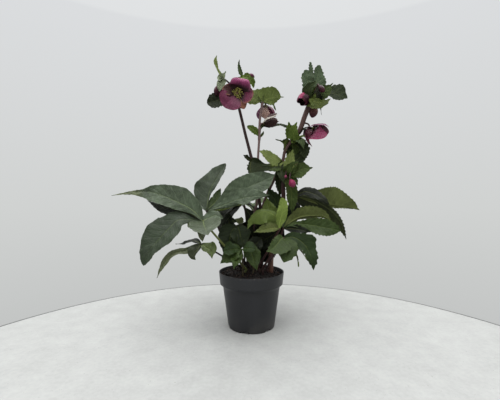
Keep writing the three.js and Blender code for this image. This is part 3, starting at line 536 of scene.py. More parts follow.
leafLook = {
    "roughness": 0.46, "shine": 0.22, "patchScale": 30, "patchShare": 0.55, "netScale": 330, "midrib": 0.45,
    "veins": 9, "sideVeins": 0.26, "net": 0.12, "relief": 0.0008, "mottleScale": 170, "mottle": 0.3,
    "ribFoot": 0.15, "rim": 0.35, "flecks": 0.5,
}


# a leaf: its own tint in soft patches, a pale rib and side veins that curve forward, a fine net
# between them, a lighter rim, and small brown flecks
def leafFinish(name, **changes):
    look = {**leafLook, **changes}
    finish = Finish(name, look["shine"])
    u, across = finish.mapped()
    own, upper, width = finish.tone()
    tint = finish.attribute("tint")
    reach = abs(across * 2 - 1)
    fromRib = reach * width * 50                       # millimetres from the rib
    rib = (fromRib / (0.3 + 1.2 * (1 - u))).under(0.4, 1.3)
    wobble = finish.noise(60, 2) - 0.5
    vein = u * (look["veins"] + 1) - 1.7 * reach**0.85 + wobble * 0.25
    sideVein = vein.fromWhole().under(0.0, 0.085) * reach.under(0.75, 1.0)
    branch = (vein * 3 + reach * 2.4).fromWhole().under(0.0, 0.12) * reach.under(0.8, 1.0)
    cells = {"feature": "DISTANCE_TO_EDGE"}
    net = finish.node("TexVoronoi", cells, {"Vector": finish.place(), "Scale": look["netScale"]})
    net = net.under(0.0, 0.1)
    patches = finish.noise(look["patchScale"], 4)
    mottle = (finish.noise(look["mottleScale"], 3) - 0.5) * 2 * look["mottle"]
    shade = 1 + (patches - 0.5) * 2 * look["patchShare"] + mottle + (own - 0.5) * 0.22
    colour = finish.scaled(tint, shade)
    paler = ((0.14, 2.0, "veinColour"), (0.4, 2.2, "ribColour"), (0.3, 1.5, "rimColour"))
    veinColour, ribColour, rimColour = [
        finish.blend(share, finish.scaled(tint, light), screen(look[key])) for share, light, key in paler]
    colour = finish.blend(net * look["net"], colour, veinColour)
    colour = finish.blend(branch * look["sideVeins"] * 0.4, colour, veinColour)
    colour = finish.blend(sideVein * look["sideVeins"], colour, veinColour)
    ribShare = (1 - 0.6 * u) * look["midrib"] + u.under(0.08, 0.3) * look["ribFoot"]
    colour = finish.blend(rib * ribShare, colour, ribColour)
    colour = finish.blend(reach.over(0.93, 1.0) * look["rim"], colour, rimColour)
    flecks = finish.noise(150, 2).over(0.70, 0.76) * look["flecks"]
    colour = finish.blend(flecks, colour, screen(look["fleckColour"]))
    height = patches * 0.5 - net * 0.18 - sideVein * 0.5 - branch * 0.25 + finish.noise(700, 2) * 0.25
    rough = look["roughness"] + (patches - 0.5) * 0.2 + (1 - upper) * 0.18 - rib * 0.08
    return finish.wear(colour, rough, height, 0.7, look["relief"])


greenLeaf = leafFinish("greenLeaf", shine=0.12, veinColour=(116, 126, 62), ribColour=(122, 130, 66),
                       rimColour=(84, 96, 44), fleckColour=(58, 50, 30))
greyLeaf = leafFinish("greyLeaf", roughness=0.42, sideVeins=0.28, flecks=0.3, mottle=0.5, ribFoot=0.5,
                      veinColour=(118, 128, 98), ribColour=(128, 138, 72), rimColour=(84, 92, 60),
                      fleckColour=(60, 56, 40))
bractLeaf = leafFinish("bractLeaf", roughness=0.5, shine=0.07, veins=6, sideVeins=0.42, net=0.24, rim=0.5,
                       veinColour=(132, 138, 72), ribColour=(124, 126, 72), rimColour=(92, 88, 44),
                       fleckColour=(80, 40, 40))


# a sepal: its own tint, veins that fan from the foot and fork, a fine freckle and a soft shine
def sepalFinish():
    finish = Finish("petal", 0.14)
    u, across = finish.mapped()
    own, tint = finish.tone()[0], finish.attribute("tint")
    wobble = (finish.noise(90, 3) - 0.5) * 0.5
    fan = (across * 9 + wobble).fromWhole().under(0.02, 0.15) * u.under(0.7, 1.0)
    fork = (across * 27 + wobble * 2 + u).fromWhole().under(0.02, 0.22) * u.over(0.25, 0.6)
    patches = finish.noise(70, 4)
    colour = finish.scaled(tint, 1 + (patches - 0.5) * 0.9 + (own - 0.5) * 0.2)
    freckle = finish.noise(520, 2).over(0.62, 0.7)
    for share, light in ((fan * 0.4, 0.5), (fork * 0.34, 2.1), (freckle * 0.25, 0.45)):
        colour = finish.blend(share, colour, finish.scaled(tint, light))
    height = fan * 0.6 + fork * 0.35 + finish.noise(800, 2) * 0.25
    rough = 0.42 + (patches - 0.5) * 0.25
    return finish.wear(colour, rough, height, 0.6, 0.0005)


# a stem: its tint in long streaks, with pale raised pores
def stemFinish():
    finish = Finish("stem", 0.2)
    tint = finish.attribute("tint")
    u, around = finish.mapped()
    streaks = finish.noise(4.5, 4, finish.node("CombineXYZ", {}, {0: u * 0.02, 1: around * 5}))
    patches = finish.noise(60, 3)
    colour = finish.scaled(tint, 1 + (streaks - 0.5) * 1.1 + (patches - 0.5) * 0.5)
    pores = finish.noise(900, 1, finish.stretched(0.35)).over(0.68, 0.74)
    colour = finish.blend(pores * 0.35, colour, finish.scaled(tint, 2.4))
    height = streaks * 0.6 + pores * 0.6
    rough = 0.5 + (patches - 0.5) * 0.3
    return finish.wear(colour, rough, height, 0.5, 0.0005)


# stamens, nectaries and pistils: their tint with a mealy grain
def pollenFinish():
    finish = Finish("pollen", 0.3)
    grain = finish.noise(1800, 3)
    colour = finish.scaled(finish.attribute("tint"), 0.7 + grain * 0.6)
    return finish.wear(colour, 0.55 + grain * 0.3, grain, 0.6, 0.0002)


potLook = {**paints(plastic=(25, 26, 29), dust=(86, 82, 74), pale=(48, 49, 52)), "roughness": 0.46}


# the pot: charcoal plastic with a flow grain, scuffs, a film of dust low down and splashes at the rim
def potFinish():
    finish = Finish("charcoalPlastic", 0.38)
    height = finish.node("SeparateXYZ", {}, {0: finish.place()}, 2)
    cloud, grain = finish.noise(16, 5), finish.noise(2400, 2)
    flow = finish.noise(30, 4, finish.stretched(0.12))
    scuff = finish.noise(220, 4, finish.stretched(0.3)).over(0.64, 0.74)
    colour = finish.blend((cloud - 0.35) * 0.5, potLook["plastic"], potLook["pale"])
    colour = finish.scaled(colour, 0.8 + flow * 0.4)
    colour = finish.blend(scuff * 0.25, colour, potLook["pale"])
    low = height.under(0.0, 0.05) * cloud.over(0.4, 0.7) * 0.22
    rim = height.over(0.118, 0.125) * finish.noise(260, 3).over(0.55, 0.66) * 0.5
    for dusty in (low, rim):
        colour = finish.blend(dusty, colour, potLook["dust"])
    rough = potLook["roughness"] + (cloud - 0.5) * 0.16 + scuff * 0.12 + rim * 0.2
    relief = grain * 0.5 + flow * 0.3 + scuff * 0.2
    return finish.wear(colour, rough, relief, 0.3, 0.0002)


# compost: near-black peat, reddish fibres and a few pale grains, damp in patches
def soilFinish():
    finish = Finish("compost", 0.25)
    coarse, fine = finish.noise(120, 5), finish.noise(620, 3)
    red = finish.noise(260, 3).over(0.56, 0.66)
    colour = finish.scaled(finish.attribute("tint"), 0.45 + coarse * 1.1)
    for share, light in ((red * 0.3, (52, 32, 24)), (fine.under(0.34, 0.44) * 0.7, (12, 9, 7)),
                         (fine.over(0.70, 0.74) * 0.4, (84, 68, 52))):
        colour = finish.blend(share, colour, screen(light))
    rough = 0.9 - coarse.under(0.3, 0.5) * 0.3
    return finish.wear(colour, rough, coarse + fine * 0.6, 0.9, 0.0012)


petal, stemSkin, pollen = sepalFinish(), stemFinish(), pollenFinish()
charcoalPlastic, compost = potFinish(), soilFinish()
print("finishes made:", len(bpy.data.materials))


# the pot and its compost

potShape = {
    "height": 125, "rimRadius": 75, "bandHeight": 27, "bandTaper": 2.5, "bandStep": 1.2, "bandEase": 0.6,
    "shoulderRadius": 65.5, "shoulderDrop": 9, "baseRadius": 53.5, "wall": 1.8, "floor": 3,
    "footWidth": 7, "recess": 2.2, "padRadius": 15, "footSlope": 1.5, "columns": 144,
    "drains": 4, "drainRadius": 5, "drainCircle": 31, "drainReach": 6, "drainRows": 3, "drainColumns": 4,
    "notches": 6, "notchWidth": 15, "notchHeight": 3.6, "notchTurn": 0.22, "notchEase": 0.9,
    "notchFrom": 42, "notchTop": 6, "bead": 0.5, "oval": 0.003,
}


# points at even steps from a to b, the first left out
def between(a, b, count):
    return vec(a) + (vec(b) - vec(a)) * np.linspace(0, 1, count + 1)[1:, None]


# the outline of the pot as (radius, height) from the axis along the floor and up the wall,
# once for the outside and once for the inside, with as many points each
def potOutlines():
    p = potShape
    base, shoulderRadius, rim, wall, recess = [
        p[key] for key in ("baseRadius", "shoulderRadius", "rimRadius", "wall", "recess")]
    floorTop, footInner = recess + p["floor"], base - p["footWidth"]
    bandFoot, top = p["height"] - p["bandHeight"], p["height"] - p["bead"]
    shoulder, band = bandFoot - p["shoulderDrop"], rim - p["bandTaper"]
    bandTop = band + p["bandTaper"] * 0.98
    drain = p["drainCircle"] + np.linspace(-p["drainReach"], p["drainReach"], 2 * p["drainRows"] + 1)
    pad = [4, p["padRadius"], p["padRadius"] + p["footSlope"]]
    flat = [*pad, 20, 22.5, *drain, 40]
    outer = [(r, 0 if r in pad[:2] else recess) for r in flat]
    outer += [(footInner - p["footSlope"], recess), (footInner, 0.3), (footInner + 0.3, 0),
              (base - 0.6, 0), (base - 0.1, 0.5), *between((base, 0), (shoulderRadius, shoulder), 11),
              (66.6, shoulder + 3), (70.2, bandFoot - 1.8), (band - p["bandStep"], bandFoot - p["bandEase"]),
              (band - 0.3, bandFoot - 0.2), (band, bandFoot + p["bandEase"]),
              *between((band, bandFoot), (bandTop, top), 5),
              (rim - 0.15, p["height"] - 0.2), (rim - 0.5, p["height"])]
    inner = [(r, floorTop) for r in (*flat, 46, 48, 49, 50.2, 51)]
    inner += [*between((base - wall, floorTop), (shoulderRadius - wall, shoulder + wall), 11),
              (65, shoulder + 4), (67.6, bandFoot - 0.6), (69.4, bandFoot + 0.6), (70.4, bandFoot + 1.3),
              (band - wall, bandFoot + 2.2), *between((band - wall, bandFoot + 2), (bandTop - wall, top), 5),
              (rim - wall + 0.1, p["height"] - 0.2), (rim - wall + 0.5, p["height"])]
    return vec([outer, inner]), flat.index(drain[0])


# a lathed wall between the two outlines. The drain holes are blocks of cells left out, whose edges
# are drawn in to a circle; the notches lift the foot: z + notch height x (1 - z / notch top) where
# the angle is within half a notch of its middle
def makePot():
    p = potShape
    sides = p["columns"]
    angle = np.arange(sides) * fullTurn / sides
    outlines, firstDrain = potOutlines()
    radius, height = outlines[..., 0][..., None] + 0 * angle, outlines[..., 1][..., None] + 0 * angle
    rows = radius.shape[1]

    turn = fullTurn / p["notches"]
    off = (angle / turn - p["notchTurn"] + 0.5) % 1 - 0.5
    reach = np.abs(off) * turn * p["baseRadius"]
    notch = 1 - eased(reach, p["notchWidth"] / 2 - p["notchEase"], p["notchWidth"] / 2 + p["notchEase"])
    foot = (radius > p["notchFrom"]) & (height < p["notchTop"])
    foot[1] = False                    # the inside keeps its floor
    height = np.where(foot, height + p["notchHeight"] * notch * (1 - height / p["notchTop"]), height)
    ovalness = 1 + p["oval"] * np.cos(2 * angle + 0.6) * eased(height, 60, p["height"])
    x, y = radius * np.cos(angle) * ovalness, radius * np.sin(angle) * ovalness

    keep = np.ones((rows - 1, sides), bool)
    down = (radius - p["drainCircle"]) / p["drainReach"]
    for k in range(p["drains"]):
        middle = int(sides * (k + 0.5) / p["drains"])
        cx, cy = p["drainCircle"] * np.cos(angle[middle]), p["drainCircle"] * np.sin(angle[middle])
        along = ((angle - angle[middle] + np.pi) % fullTurn - np.pi) / (p["drainColumns"] * angle[1])
        far = np.maximum(np.abs(down), np.abs(along))
        own = np.hypot(x - cx, y - cy) + 1e-9
        share = eased(far, 1, 1.9)
        ring = p["drainRadius"] * (1 - share) + own * share
        near = (far < 1.9) & (far > 0.99)
        x = np.where(near, cx + (x - cx) / own * ring, x)
        y = np.where(near, cy + (y - cy) / own * ring, y)
        first, last = middle - p["drainColumns"], middle + p["drainColumns"]
        keep[firstDrain:firstDrain + 2 * p["drainRows"], first:last] = False
    faces = slabFaces(rows, sides, keep, wrapped=True)
    ends = np.arange(sides)[None]
    firstWall = faces.pop(2)           # the wall at the axis gives way to two flat discs
    faces += [firstWall[sides:], ends[:, ::-1], ends + rows * sides]
    piece = Piece("potShell", "pot", [charcoalPlastic], ["pot"])
    where = np.stack(np.broadcast_arrays(angle / fullTurn + 0 * height, height / p["height"]), -1)
    piece.add(np.stack([x, y, height], -1), faces, 0, where)
    piece.lay(sharp=35)


soilShape = {
    "edge": 116, "rise": 14, "top": 130, "radius": 71, "rows": 84, "columns": 220,
    "lumps": [(2.4, 11, 1), (1.3, 4.6, 2), (0.6, 2.1, 3), (0.8, 7, 5)],    # height, width and seed
    "crumbs": 900, "crumbSize": (0.8, 3.4), "fibres": 150, "innermost": 0.012, "rim": 0.4,
    "crumbOutline": [(-0.95, 0.25), (-0.45, 0.85), (0.2, 0.95), (0.8, 0.35)],
    "inside": [(3, 5.7), (30, 5.7), (51.1, 5.7), (57, 46), (63.1, 90.8), (66, 96), (70.0, 100),
               (70.3, 104)],
    **paints(peat=(20, 16, 14), fibre=(58, 38, 28), chip=(48, 36, 30)),
}


# how high the compost stands at x, y: a mound that falls with the square of the radius, with
# three sizes of random lumps that fade at the wall, and a broad one that does not
def soilHeight(x, y):
    s = soilShape
    radius = np.hypot(x, y)
    mound = s["edge"] + s["rise"] * (1 - (np.minimum(radius, s["radius"]) / s["radius"]) ** 2)
    large, middling, small, broad = [
        high * lumps(x / wide, y / wide, seed) for high, wide, seed in s["lumps"]]
    return mound + (large + np.abs(middling) + small) * eased(s["radius"] - radius, 0, 6) + broad


# a spot on the ground, as likely anywhere within reach of the axis
def anySpot(reach):
    far, turn = reach * np.sqrt(chance.uniform(0, 1)), chance.uniform(0, fullTurn)
    return vec([far * np.cos(turn), far * np.sin(turn), 0])


# a plug that fills the pot, its top a polar grid lifted to the compost's height, then crumbs,
# which are small uneven lathed forms, and fibres, which are thin bent tubes, both with no map
def makeSoil():
    s = soilShape
    angle = np.arange(s["columns"]) * fullTurn / s["columns"]
    radius, height = [column[:, None] + 0 * angle for column in vec(s["inside"]).T]
    topRadius = np.linspace(1, s["innermost"], s["rows"])[:, None] * (s["radius"] + s["rim"]) + 0 * angle
    x, y = topRadius * np.cos(angle), topRadius * np.sin(angle)
    side = np.stack([radius * np.cos(angle), radius * np.sin(angle), height], -1)
    points = np.concatenate([side, np.stack([x, y, soilHeight(x, y)], -1)])
    piece = Piece("compostMound", "soil", [compost], ["soil"])
    piece.add(points, tubeFaces(*points.shape[:2]), 0, None, s["peat"])

    smallest, largest = s["crumbSize"]
    for k in range(s["crumbs"]):
        at = anySpot(s["radius"] - 2)
        size = smallest + (largest - smallest) * chance.uniform(0, 1) ** 2.5
        at[2] = soilHeight(at[0], at[1]) + size * 0.25
        look = chance.normal(size=3)
        outline = vec(s["crumbOutline"]) * size * vec([1, chance.uniform(0.6, 1.1)])
        form, where = turnedForm(at, look, outline, 6, chance.uniform(0.7, 1.2, (len(outline), 6)))
        tint = s["peat"] if k % 3 else s["chip"] * chance.uniform(0.5, 1.3)
        piece.addRound((form, None), 0, tint * chance.uniform(0.6, 1.3))
    for k in range(s["fibres"]):
        at, lie = anySpot(s["radius"] - 3), chance.uniform(0, fullTurn)
        step = vec([np.cos(lie), np.sin(lie), 0]) * chance.uniform(2, 6)
        ends = vec([at - step, at + chance.normal(size=3), at + step])
        ends[:, 2] = soilHeight(ends[:, 0], ends[:, 1]) + chance.uniform(0.2, 1.6, 3)
        form, where = tube(alongCurve(ends, 6), chance.uniform(0.15, 0.4), 4)
        piece.addRound((form, None), 0, s["fibre"] * chance.uniform(0.5, 1.4))
    piece.lay(sharp=60)


makePot()
makeSoil()
print("pot and compost made")


# leaves

# ink is near-black, painted shade for leaflets set deep in the plant's shadow; shade is a dark tint painted
# for leaflets in shadow under the big leaves
leafTints = paints(
    grey=(65, 76, 58), greyDeep=(52, 61, 46), greyDark=(32, 42, 26), greyLight=(60, 68, 52),
    greyUnder=(70, 76, 48), pale=(84, 90, 64), dark=(27, 41, 15), ink=(12, 17, 8), mid=(42, 55, 24),
    shade=(21, 30, 13), leafy=(66, 79, 33), fresh=(96, 112, 52), light=(84, 98, 42), olive=(70, 77, 40),
    darkOlive=(40, 46, 25), stalkGreen=(84, 90, 48), stalkDun=(58, 52, 34), stalkBrown=(34, 24, 20),
    stalkRed=(46, 26, 24))
# footSwell and hubSwell: how much thicker a stalk is at its foot and its hub, and how far that
# reaches as a share of it; ribs: how high they stand and how many run round it; knot: its size as
# a share of the stalk's radius, drawn out by knotDraw
leafShape = {
    "rows": 60, "sides": 14, "taper": 0.18, "teeth": 2.6, "footSwell": (0.8, 0.12),
    "hubSwell": (0.5, 0.05), "ribs": (0.12, 3), "knot": 0.62, "knotSides": 12, "knotDraw": (1.1, 1.25),
    "knotOutline": [(-1, 0.3), (-0.7, 0.8), (0, 1.15), (0.7, 0.8), (1, 0.3)],
}
# wear: the tints of the upper side, the under side and the stalk; stalk: the radius of the stalk
leafTable = {}
leafTable["leaf_left_front"] = dict(root=[-14, -30], bend=[[-57, -50, 189]], hub=[-102, -70, 246], stalk=2.6,
    teeth=1.2, wear=("grey", "greyUnder", "stalkGreen"), leaflets=[
    blade([[-124, -74, 269], [-148, -79, 283], [-178, -85, 297], [-207, -89, 306], [-236, -93, 307],
        [-282, -95, 299]], [0, -0.9, 0.4], (-4, 8), [2.2, 5.4, 11, 16, 19, 20, 19, 12, 6.1, 3, 0.7],
        [2.2, 16, 26, 34, 31, 24, 15, 3.9, 3, 2.2, 0.7], tipTint="pale"),
    # the big hanging leaflet takes a darker copy of the grey: painted shade
    blade([[-147, -86, 250], [-165, -94, 234], [-183, -102, 214], [-199, -108, 194], [-207, -112, 178],
        [-211, -115, 162]], [-0.25, -0.85, 0.4], (6, 2), [2.1, 4.2, 10, 20, 28, 31, 29, 22, 18, 18, 13],
        [2.1, 2.5, 10, 21, 31, 36, 38, 35, 27, 19, 10], "greyDark", blunt=9),
    blade([[-96, -95, 240], [-87, -130, 233], [-79, -158, 227]], [0.05, -0.5, 1], (14, 0),
        [10, 25, 32, 34, 34, 32, 25, 15, 5.7], [15, 27, 30, 32, 32, 30, 25, 15, 5.7], "greyLight", blunt=8),
    # a leaflet behind the others, near-black on both sides: painted shade
    blade([[-130, -64, 260], [-169, -64, 271], [-198, -64, 277], [-220, -64, 289]], [0, -1, 0.02], (0, 0),
        [2.4, 7, 11, 13, 14, 14, 11, 4.7, 0.7], [2.4, 12, 19, 19, 15, 12, 8, 4.7, 0.7], "ink", under="ink"),
    blade([[-101, -76, 230], [-102, -86, 218], [-99, -92, 206]], [0, -0.8, 0.5], (0, 0),
        [2.2, 6.5, 10, 11, 10, 9, 6.5, 4.3, 0.9], tint="pale"),
    blade([[-89, -70, 253], [-75, -68, 258], [-60, -70, 251]], [0.1, -0.8, 0.6], (10, 0),
        [4.3, 11, 13, 12, 10, 4.8, 0.9], [4.3, 13, 17, 20, 17, 9, 1.1], "grey"),
])
leafTable["leaf_left_back"] = dict(root=[-6, -17], bend=[[-52, -34, 199]], hub=[-98, -46, 266], stalk=2.5,
    teeth=1.2, wear=("grey", "greyUnder", "stalkBrown"), leaflets=[
    blade([[-95, -42, 290], [-93, -39, 305], [-86, -35, 323], [-74, -29, 346], [-58, -22, 372]],
        [-0.2, -1, 0.05], (8, 6), [1.9, 18, 30, 36, 31, 25, 22, 15, 5.6],
        [1.4, 1.9, 3.3, 6.1, 10, 11, 10, 9, 5.6], "greyDeep", blunt=10),
    blade([[-55, -58, 281], [-29, -64, 291], [1, -70, 297], [37, -75, 300]], [0.1, -0.95, 0.3], (4, -4),
        [1.1, 4.6, 9, 16, 22, 23, 18, 10, 0.9], [1.1, 2.3, 4.1, 6.9, 8, 16, 9, 4.6, 0.7]),
    blade([[-53, -48, 288], [-25, -45, 307], [1, -43, 322], [25, -40, 332], [52, -38, 346]], [0, -1, 0.15],
        (10, 2), [1.4, 6.9, 17, 26, 30, 29, 25, 19, 1.4], [1.4, 6.9, 14, 21, 25, 26, 24, 18, 1.4]),
    freeBlade([-155, 40, 268], [-0.4, 0.1, 0.9], 40, 10),
    blade([[-79, -34, 288], [-75, -30, 301], [-69, -28, 316]], [0, -1, 0.1], (0, 0),
        [2.2, 9, 12, 13, 11, 6.7, 1.1], [2.2, 9, 11, 11, 9, 5.4, 1.1], "mid"),
    blade([[-74, -38, 269], [-45, -36, 277], [-10, -34, 283]], [0, -0.9, 0.3], (0, 0),
        [0.9, 2.2, 3.3, 4.9, 5.3, 4.4, 3.1, 2.2, 0.7], tint="light"),
])
leafTable["leaf_left_low"] = dict(root=[-26, -14], bend=[[-66, -28, 165]], hub=[-110, -38, 193], stalk=2.2,
    teeth=1.2, wear=("grey", "greyUnder", "stalkBrown"), leaflets=[
    blade([[-139, -44, 180], [-160, -48, 177], [-176, -52, 169], [-188, -56, 154], [-196, -59, 139],
        [-201, -62, 124]], [-0.2, -0.8, 0.6], (4, 24), [2.4, 5.3, 8, 8, 8, 8, 7, 5.3, 1],
        [2.4, 5.3, 7, 8, 8, 7, 6.2, 4.3, 1], "pale", blunt=12),
    blade([[-128, -34, 199], [-147, -28, 194], [-171, -22, 190]], [-0.1, -0.4, 0.9], (0, 10),
        [1.2, 4, 5, 4.5, 3.5, 2.5, 0.7], [1.2, 7, 10, 7, 4.5, 2.5, 0.7], "ink"),
    blade([[-118, -50, 182], [-123, -58, 172], [-119, -64, 163]], [0.1, -0.85, 0.5], (0, 0),
        [2.3, 4.5, 5, 4.1, 2.3, 0.7], [2.3, 11, 18, 18, 10, 0.9], "darkOlive"),
    blade([[-99, -50, 187], [-87, -62, 182], [-82, -76, 168]], [-0.1, -0.85, 0.5], (0, 10),
        [2.2, 10, 16, 18, 17, 12, 6.3, 0.9], [2.2, 6.7, 10, 11, 10, 8, 4, 0.9], "leafy"),
])
leafTable["leaf_centre"] = dict(root=[-9, -6], bend=[[-9, -5, 209], [-13, -9, 262]], hub=[-19, -12, 281],
    stalk=3.2, wear=("dark", "darkOlive", "stalkBrown"), leaflets=[
    # the five leaflets are near-black, painted shade in the middle of the plant under the big leaves
    freeBlade([-60, -28, 256], [-0.2, -0.4, 1], 44, 8, tint="ink"),
    freeBlade([-74, -2, 214], [-0.6, -0.6, 0.5], 58, 14, tint="ink"),
    freeBlade([-50, 26, 222], [-0.2, -0.5, 0.7], 48, 10, tint="ink"),
    freeBlade([10, 38, 258], [0.1, -0.5, 0.8], 40, 8, tint="ink"),
    freeBlade([24, 20, 196], [0.2, -0.9, 0.3], 48, 8, tint="ink", under="ink"),
])
leafTable["leaf_centre_low"] = dict(root=[-16, -12], bend=[[-16, -20, 205], [-20, -25, 234]],
    hub=[-34, -32, 232], stalk=2.2, wear=("dark", "darkOlive", "stalkBrown"), leaflets=[
    blade([[-28, -38, 226], [-23, -44, 207], [-17, -49, 186]], [0.1, -0.97, 0.25], (12, 12),
        [2.3, 11, 19, 24, 23, 19, 14, 8, 0.9], [2.3, 11, 19, 23, 22, 18, 14, 8, 0.9], "shade"),
    blade([[-45, -40, 217], [-49, -46, 194], [-55, -52, 167]], [-0.1, -0.97, 0.25], (10, 10),
        [2.2, 11, 17, 19, 18, 16, 12, 7, 0.9], [4.5, 18, 25, 27, 25, 22, 16, 9, 0.9], "shade"),
    blade([[-46, -32, 232], [-51, -32, 248], [-50, -32, 260]], [-0.1, -1, 0.1], (6, 6),
        [2.3, 12, 17, 18, 16, 12, 6.9, 1.4], [2.3, 12, 17, 18, 16, 12, 8, 2.3], "ink"),
    blade([[-20, 2, 229], [-32, 6, 196], [-43, 6, 158]], [0, -1, 0.1], (4, 4),
        [4.8, 19, 27, 29, 27, 19, 10, 1.5], tint="ink"),
])
leafTable["leaf_low_left"] = dict(root=[-19, -46], bend=[[-20, -54, 165]], hub=[-22, -58, 184], stalk=2,
    wear=("mid", "olive", "stalkDun"), leaflets=[
    blade([[-35, -64, 184], [-48, -70, 171], [-65, -76, 158]], [-0.3, -0.85, 0.4], (8, 8),
        [2.3, 12, 19, 21, 20, 17, 13, 7, 1.2], [2.3, 9, 15, 17, 16, 14, 11, 6.1, 1.2], "mid"),
    blade([[-29, -70, 170], [-33, -84, 161], [-36, -94, 150]], [-0.1, -0.8, 0.6], (8, 8),
        [2.2, 6.7, 11, 13, 12, 11, 8, 4, 1.1], tint="mid", blunt=8),
    freeBlade([-60, -66, 180], [-0.3, -0.8, 0.6], 34, 6, tint="dark"),
    freeBlade([8, -72, 186], [0.1, -0.7, 0.7], 32, 5, tint="dark"),
])
leafTable["leaf_front"] = dict(root=[4, -36], bend=[[-1, -40, 155]], hub=[-6, -41, 176], stalk=1.9,
    wear=("mid", "olive", "stalkDun"), leaflets=[
    blade([[-3, -50, 184], [4, -60, 165], [11, -70, 143]], [0.1, -0.9, 0.4], (10, 10),
        [2.2, 11, 18, 19, 18, 16, 11, 5.8, 0.9], [2.2, 11, 17, 19, 18, 15, 11, 5.8, 0.9]),
    freeBlade([22, -46, 206], [0, -0.9, 0.4], 34, 3, tint="ink"),
])
leafTable["leaf_middle"] = dict(root=[16, -23], bend=[[38, -34, 180]], hub=[61, -45, 227], stalk=2.8,
    wear=("light", "olive", "stalkRed"), leaflets=[
    blade([[56, -44, 248], [42, -46, 262], [25, -50, 265], [9, -53, 259], [-4, -56, 246], [-9, -58, 228]],
        [0, -0.75, 0.7], (-24, -10), [2.4, 9, 20, 26, 28, 27, 23, 13, 2.4],
        [2.4, 7, 10, 10, 8, 6.1, 4.7, 2.8, 0.7], "leafy", blunt=10),
    blade([[46, -52, 229], [26, -62, 227], [4, -74, 222]], [0.05, -0.85, 0.5], (0, 12),
        [1.1, 5.5, 8, 9, 9, 6.9, 4.6, 2.3, 0.7], [1.1, 8, 12, 14, 12, 10, 6.4, 3.2, 0.7], "olive"),
    blade([[62, -46, 242], [67, -47, 264], [69, -47, 281], [65, -46, 295]], [0, -1, 0.1], (-4, 8),
        [1.7, 5.4, 10, 12, 12, 11, 10, 9, 3.5], tint="fresh"),
    blade([[44, -26, 259], [38, -20, 276], [35, -16, 296]], [0, -1, 0.1], (4, 4),
        [4.5, 11, 16, 18, 18, 16, 14, 8, 1.8], tint="leafy", blunt=8),
])
leafTable["leaf_right"] = dict(root=[36, -24], bend=[[56, -24, 185]], hub=[72, -24, 226], stalk=2.8,
    teeth=3.8, wear=("mid", "olive", "stalkRed"), leaflets=[
    blade([[87, -24, 235], [109, -25, 237], [134, -26, 234], [167, -27, 228], [203, -26, 221]],
        [0.1, -0.92, 0.4], (14, -2), [1.2, 2.4, 5.9, 10, 16, 20, 20, 14, 1],
        [1.2, 4.9, 10, 11, 18, 22, 20, 13, 1]),
    blade([[93, -14, 242], [114, -10, 251], [140, -6, 254], [167, -2, 252], [191, 2, 237]], [0, 0.9, 0.35],
        (4, 10), [1.3, 5, 6.5, 6.5, 6.5, 6, 5, 3, 0.8], [1.3, 8, 16, 23, 23, 21, 16, 8, 0.8]),
    blade([[87, -26, 226], [108, -30, 224], [133, -34, 219]], [0, -0.95, 0.3], (6, 6),
        [1.2, 6, 9, 10, 10, 8, 6.5, 3.5, 0.7], [1.2, 6, 9, 11, 11, 9, 6.9, 3.5, 0.7], "ink"),
    freeBlade([112, 56, 212], [0.2, 0, 0.95], 38, 6, tint="dark"),
    blade([[67, 14, 252], [59, 20, 285], [39, 24, 320]], [0, -1, 0.1], (6, 10),
        [2.5, 12, 20, 22, 21, 18, 11, 1.7], tint="dark"),
    # four leaflets near-black on both sides: painted shade filling the dark gaps between the stems
    freeBlade([14, 12, 182], [-0.2, -0.9, 0.3], 46, 6, tint="ink", under="ink"),
    freeBlade([28, 16, 144], [-0.1, -0.95, 0.3], 40, 6, tint="ink", under="ink"),
    blade([[57, -4, 209], [39, 4, 182], [20, 8, 151]], [0, -1, 0.1], (4, 4),
        [4.8, 17, 24, 27, 24, 17, 10, 1.4], tint="ink", under="ink"),
    blade([[53, 4, 220], [25, 10, 212], [-3, 12, 195]], [0, -1, 0.1], (4, 4),
        [4.9, 15, 20, 22, 20, 15, 8, 1.5], tint="ink", under="ink"),
])
leafTable["leaf_right_front"] = dict(root=[25, -33], bend=[[50, -44, 178]], hub=[70, -52, 208], stalk=2.8,
    teeth=3.8, wear=("mid", "olive", "stalkRed"), leaflets=[
    blade([[91, -56, 210], [109, -62, 199], [121, -70, 182], [126, -76, 165], [128, -79, 145]],
        [0.05, -0.97, 0.25], (10, 4), [4.4, 10, 13, 22, 27, 16, 15, 9, 0.9],
        [2.2, 11, 19, 19, 16, 13, 12, 7, 0.9], "dark"),
    blade([[62, -64, 207], [48, -80, 194], [30, -92, 185]], [-0.1, -0.9, 0.45], (2, 6),
        [4.4, 17, 26, 30, 27, 21, 12, 1.3], [4.4, 9, 12, 13, 12, 10, 6.1, 0.9]),
    blade([[71, -62, 203], [74, -76, 184], [66, -86, 162]], [0.1, -0.9, 0.45], (4, 4),
        [4.4, 16, 22, 23, 22, 18, 13, 4.4], [4.4, 14, 21, 26, 25, 21, 14, 4.4], blunt=8),
    freeBlade([104, -32, 141], [0.5, -0.3, 0.6], 15, 8, tint="light"),
    freeBlade([126, -24, 153], [0.5, -0.2, 0.7], 9, 6, tint="light"),
])
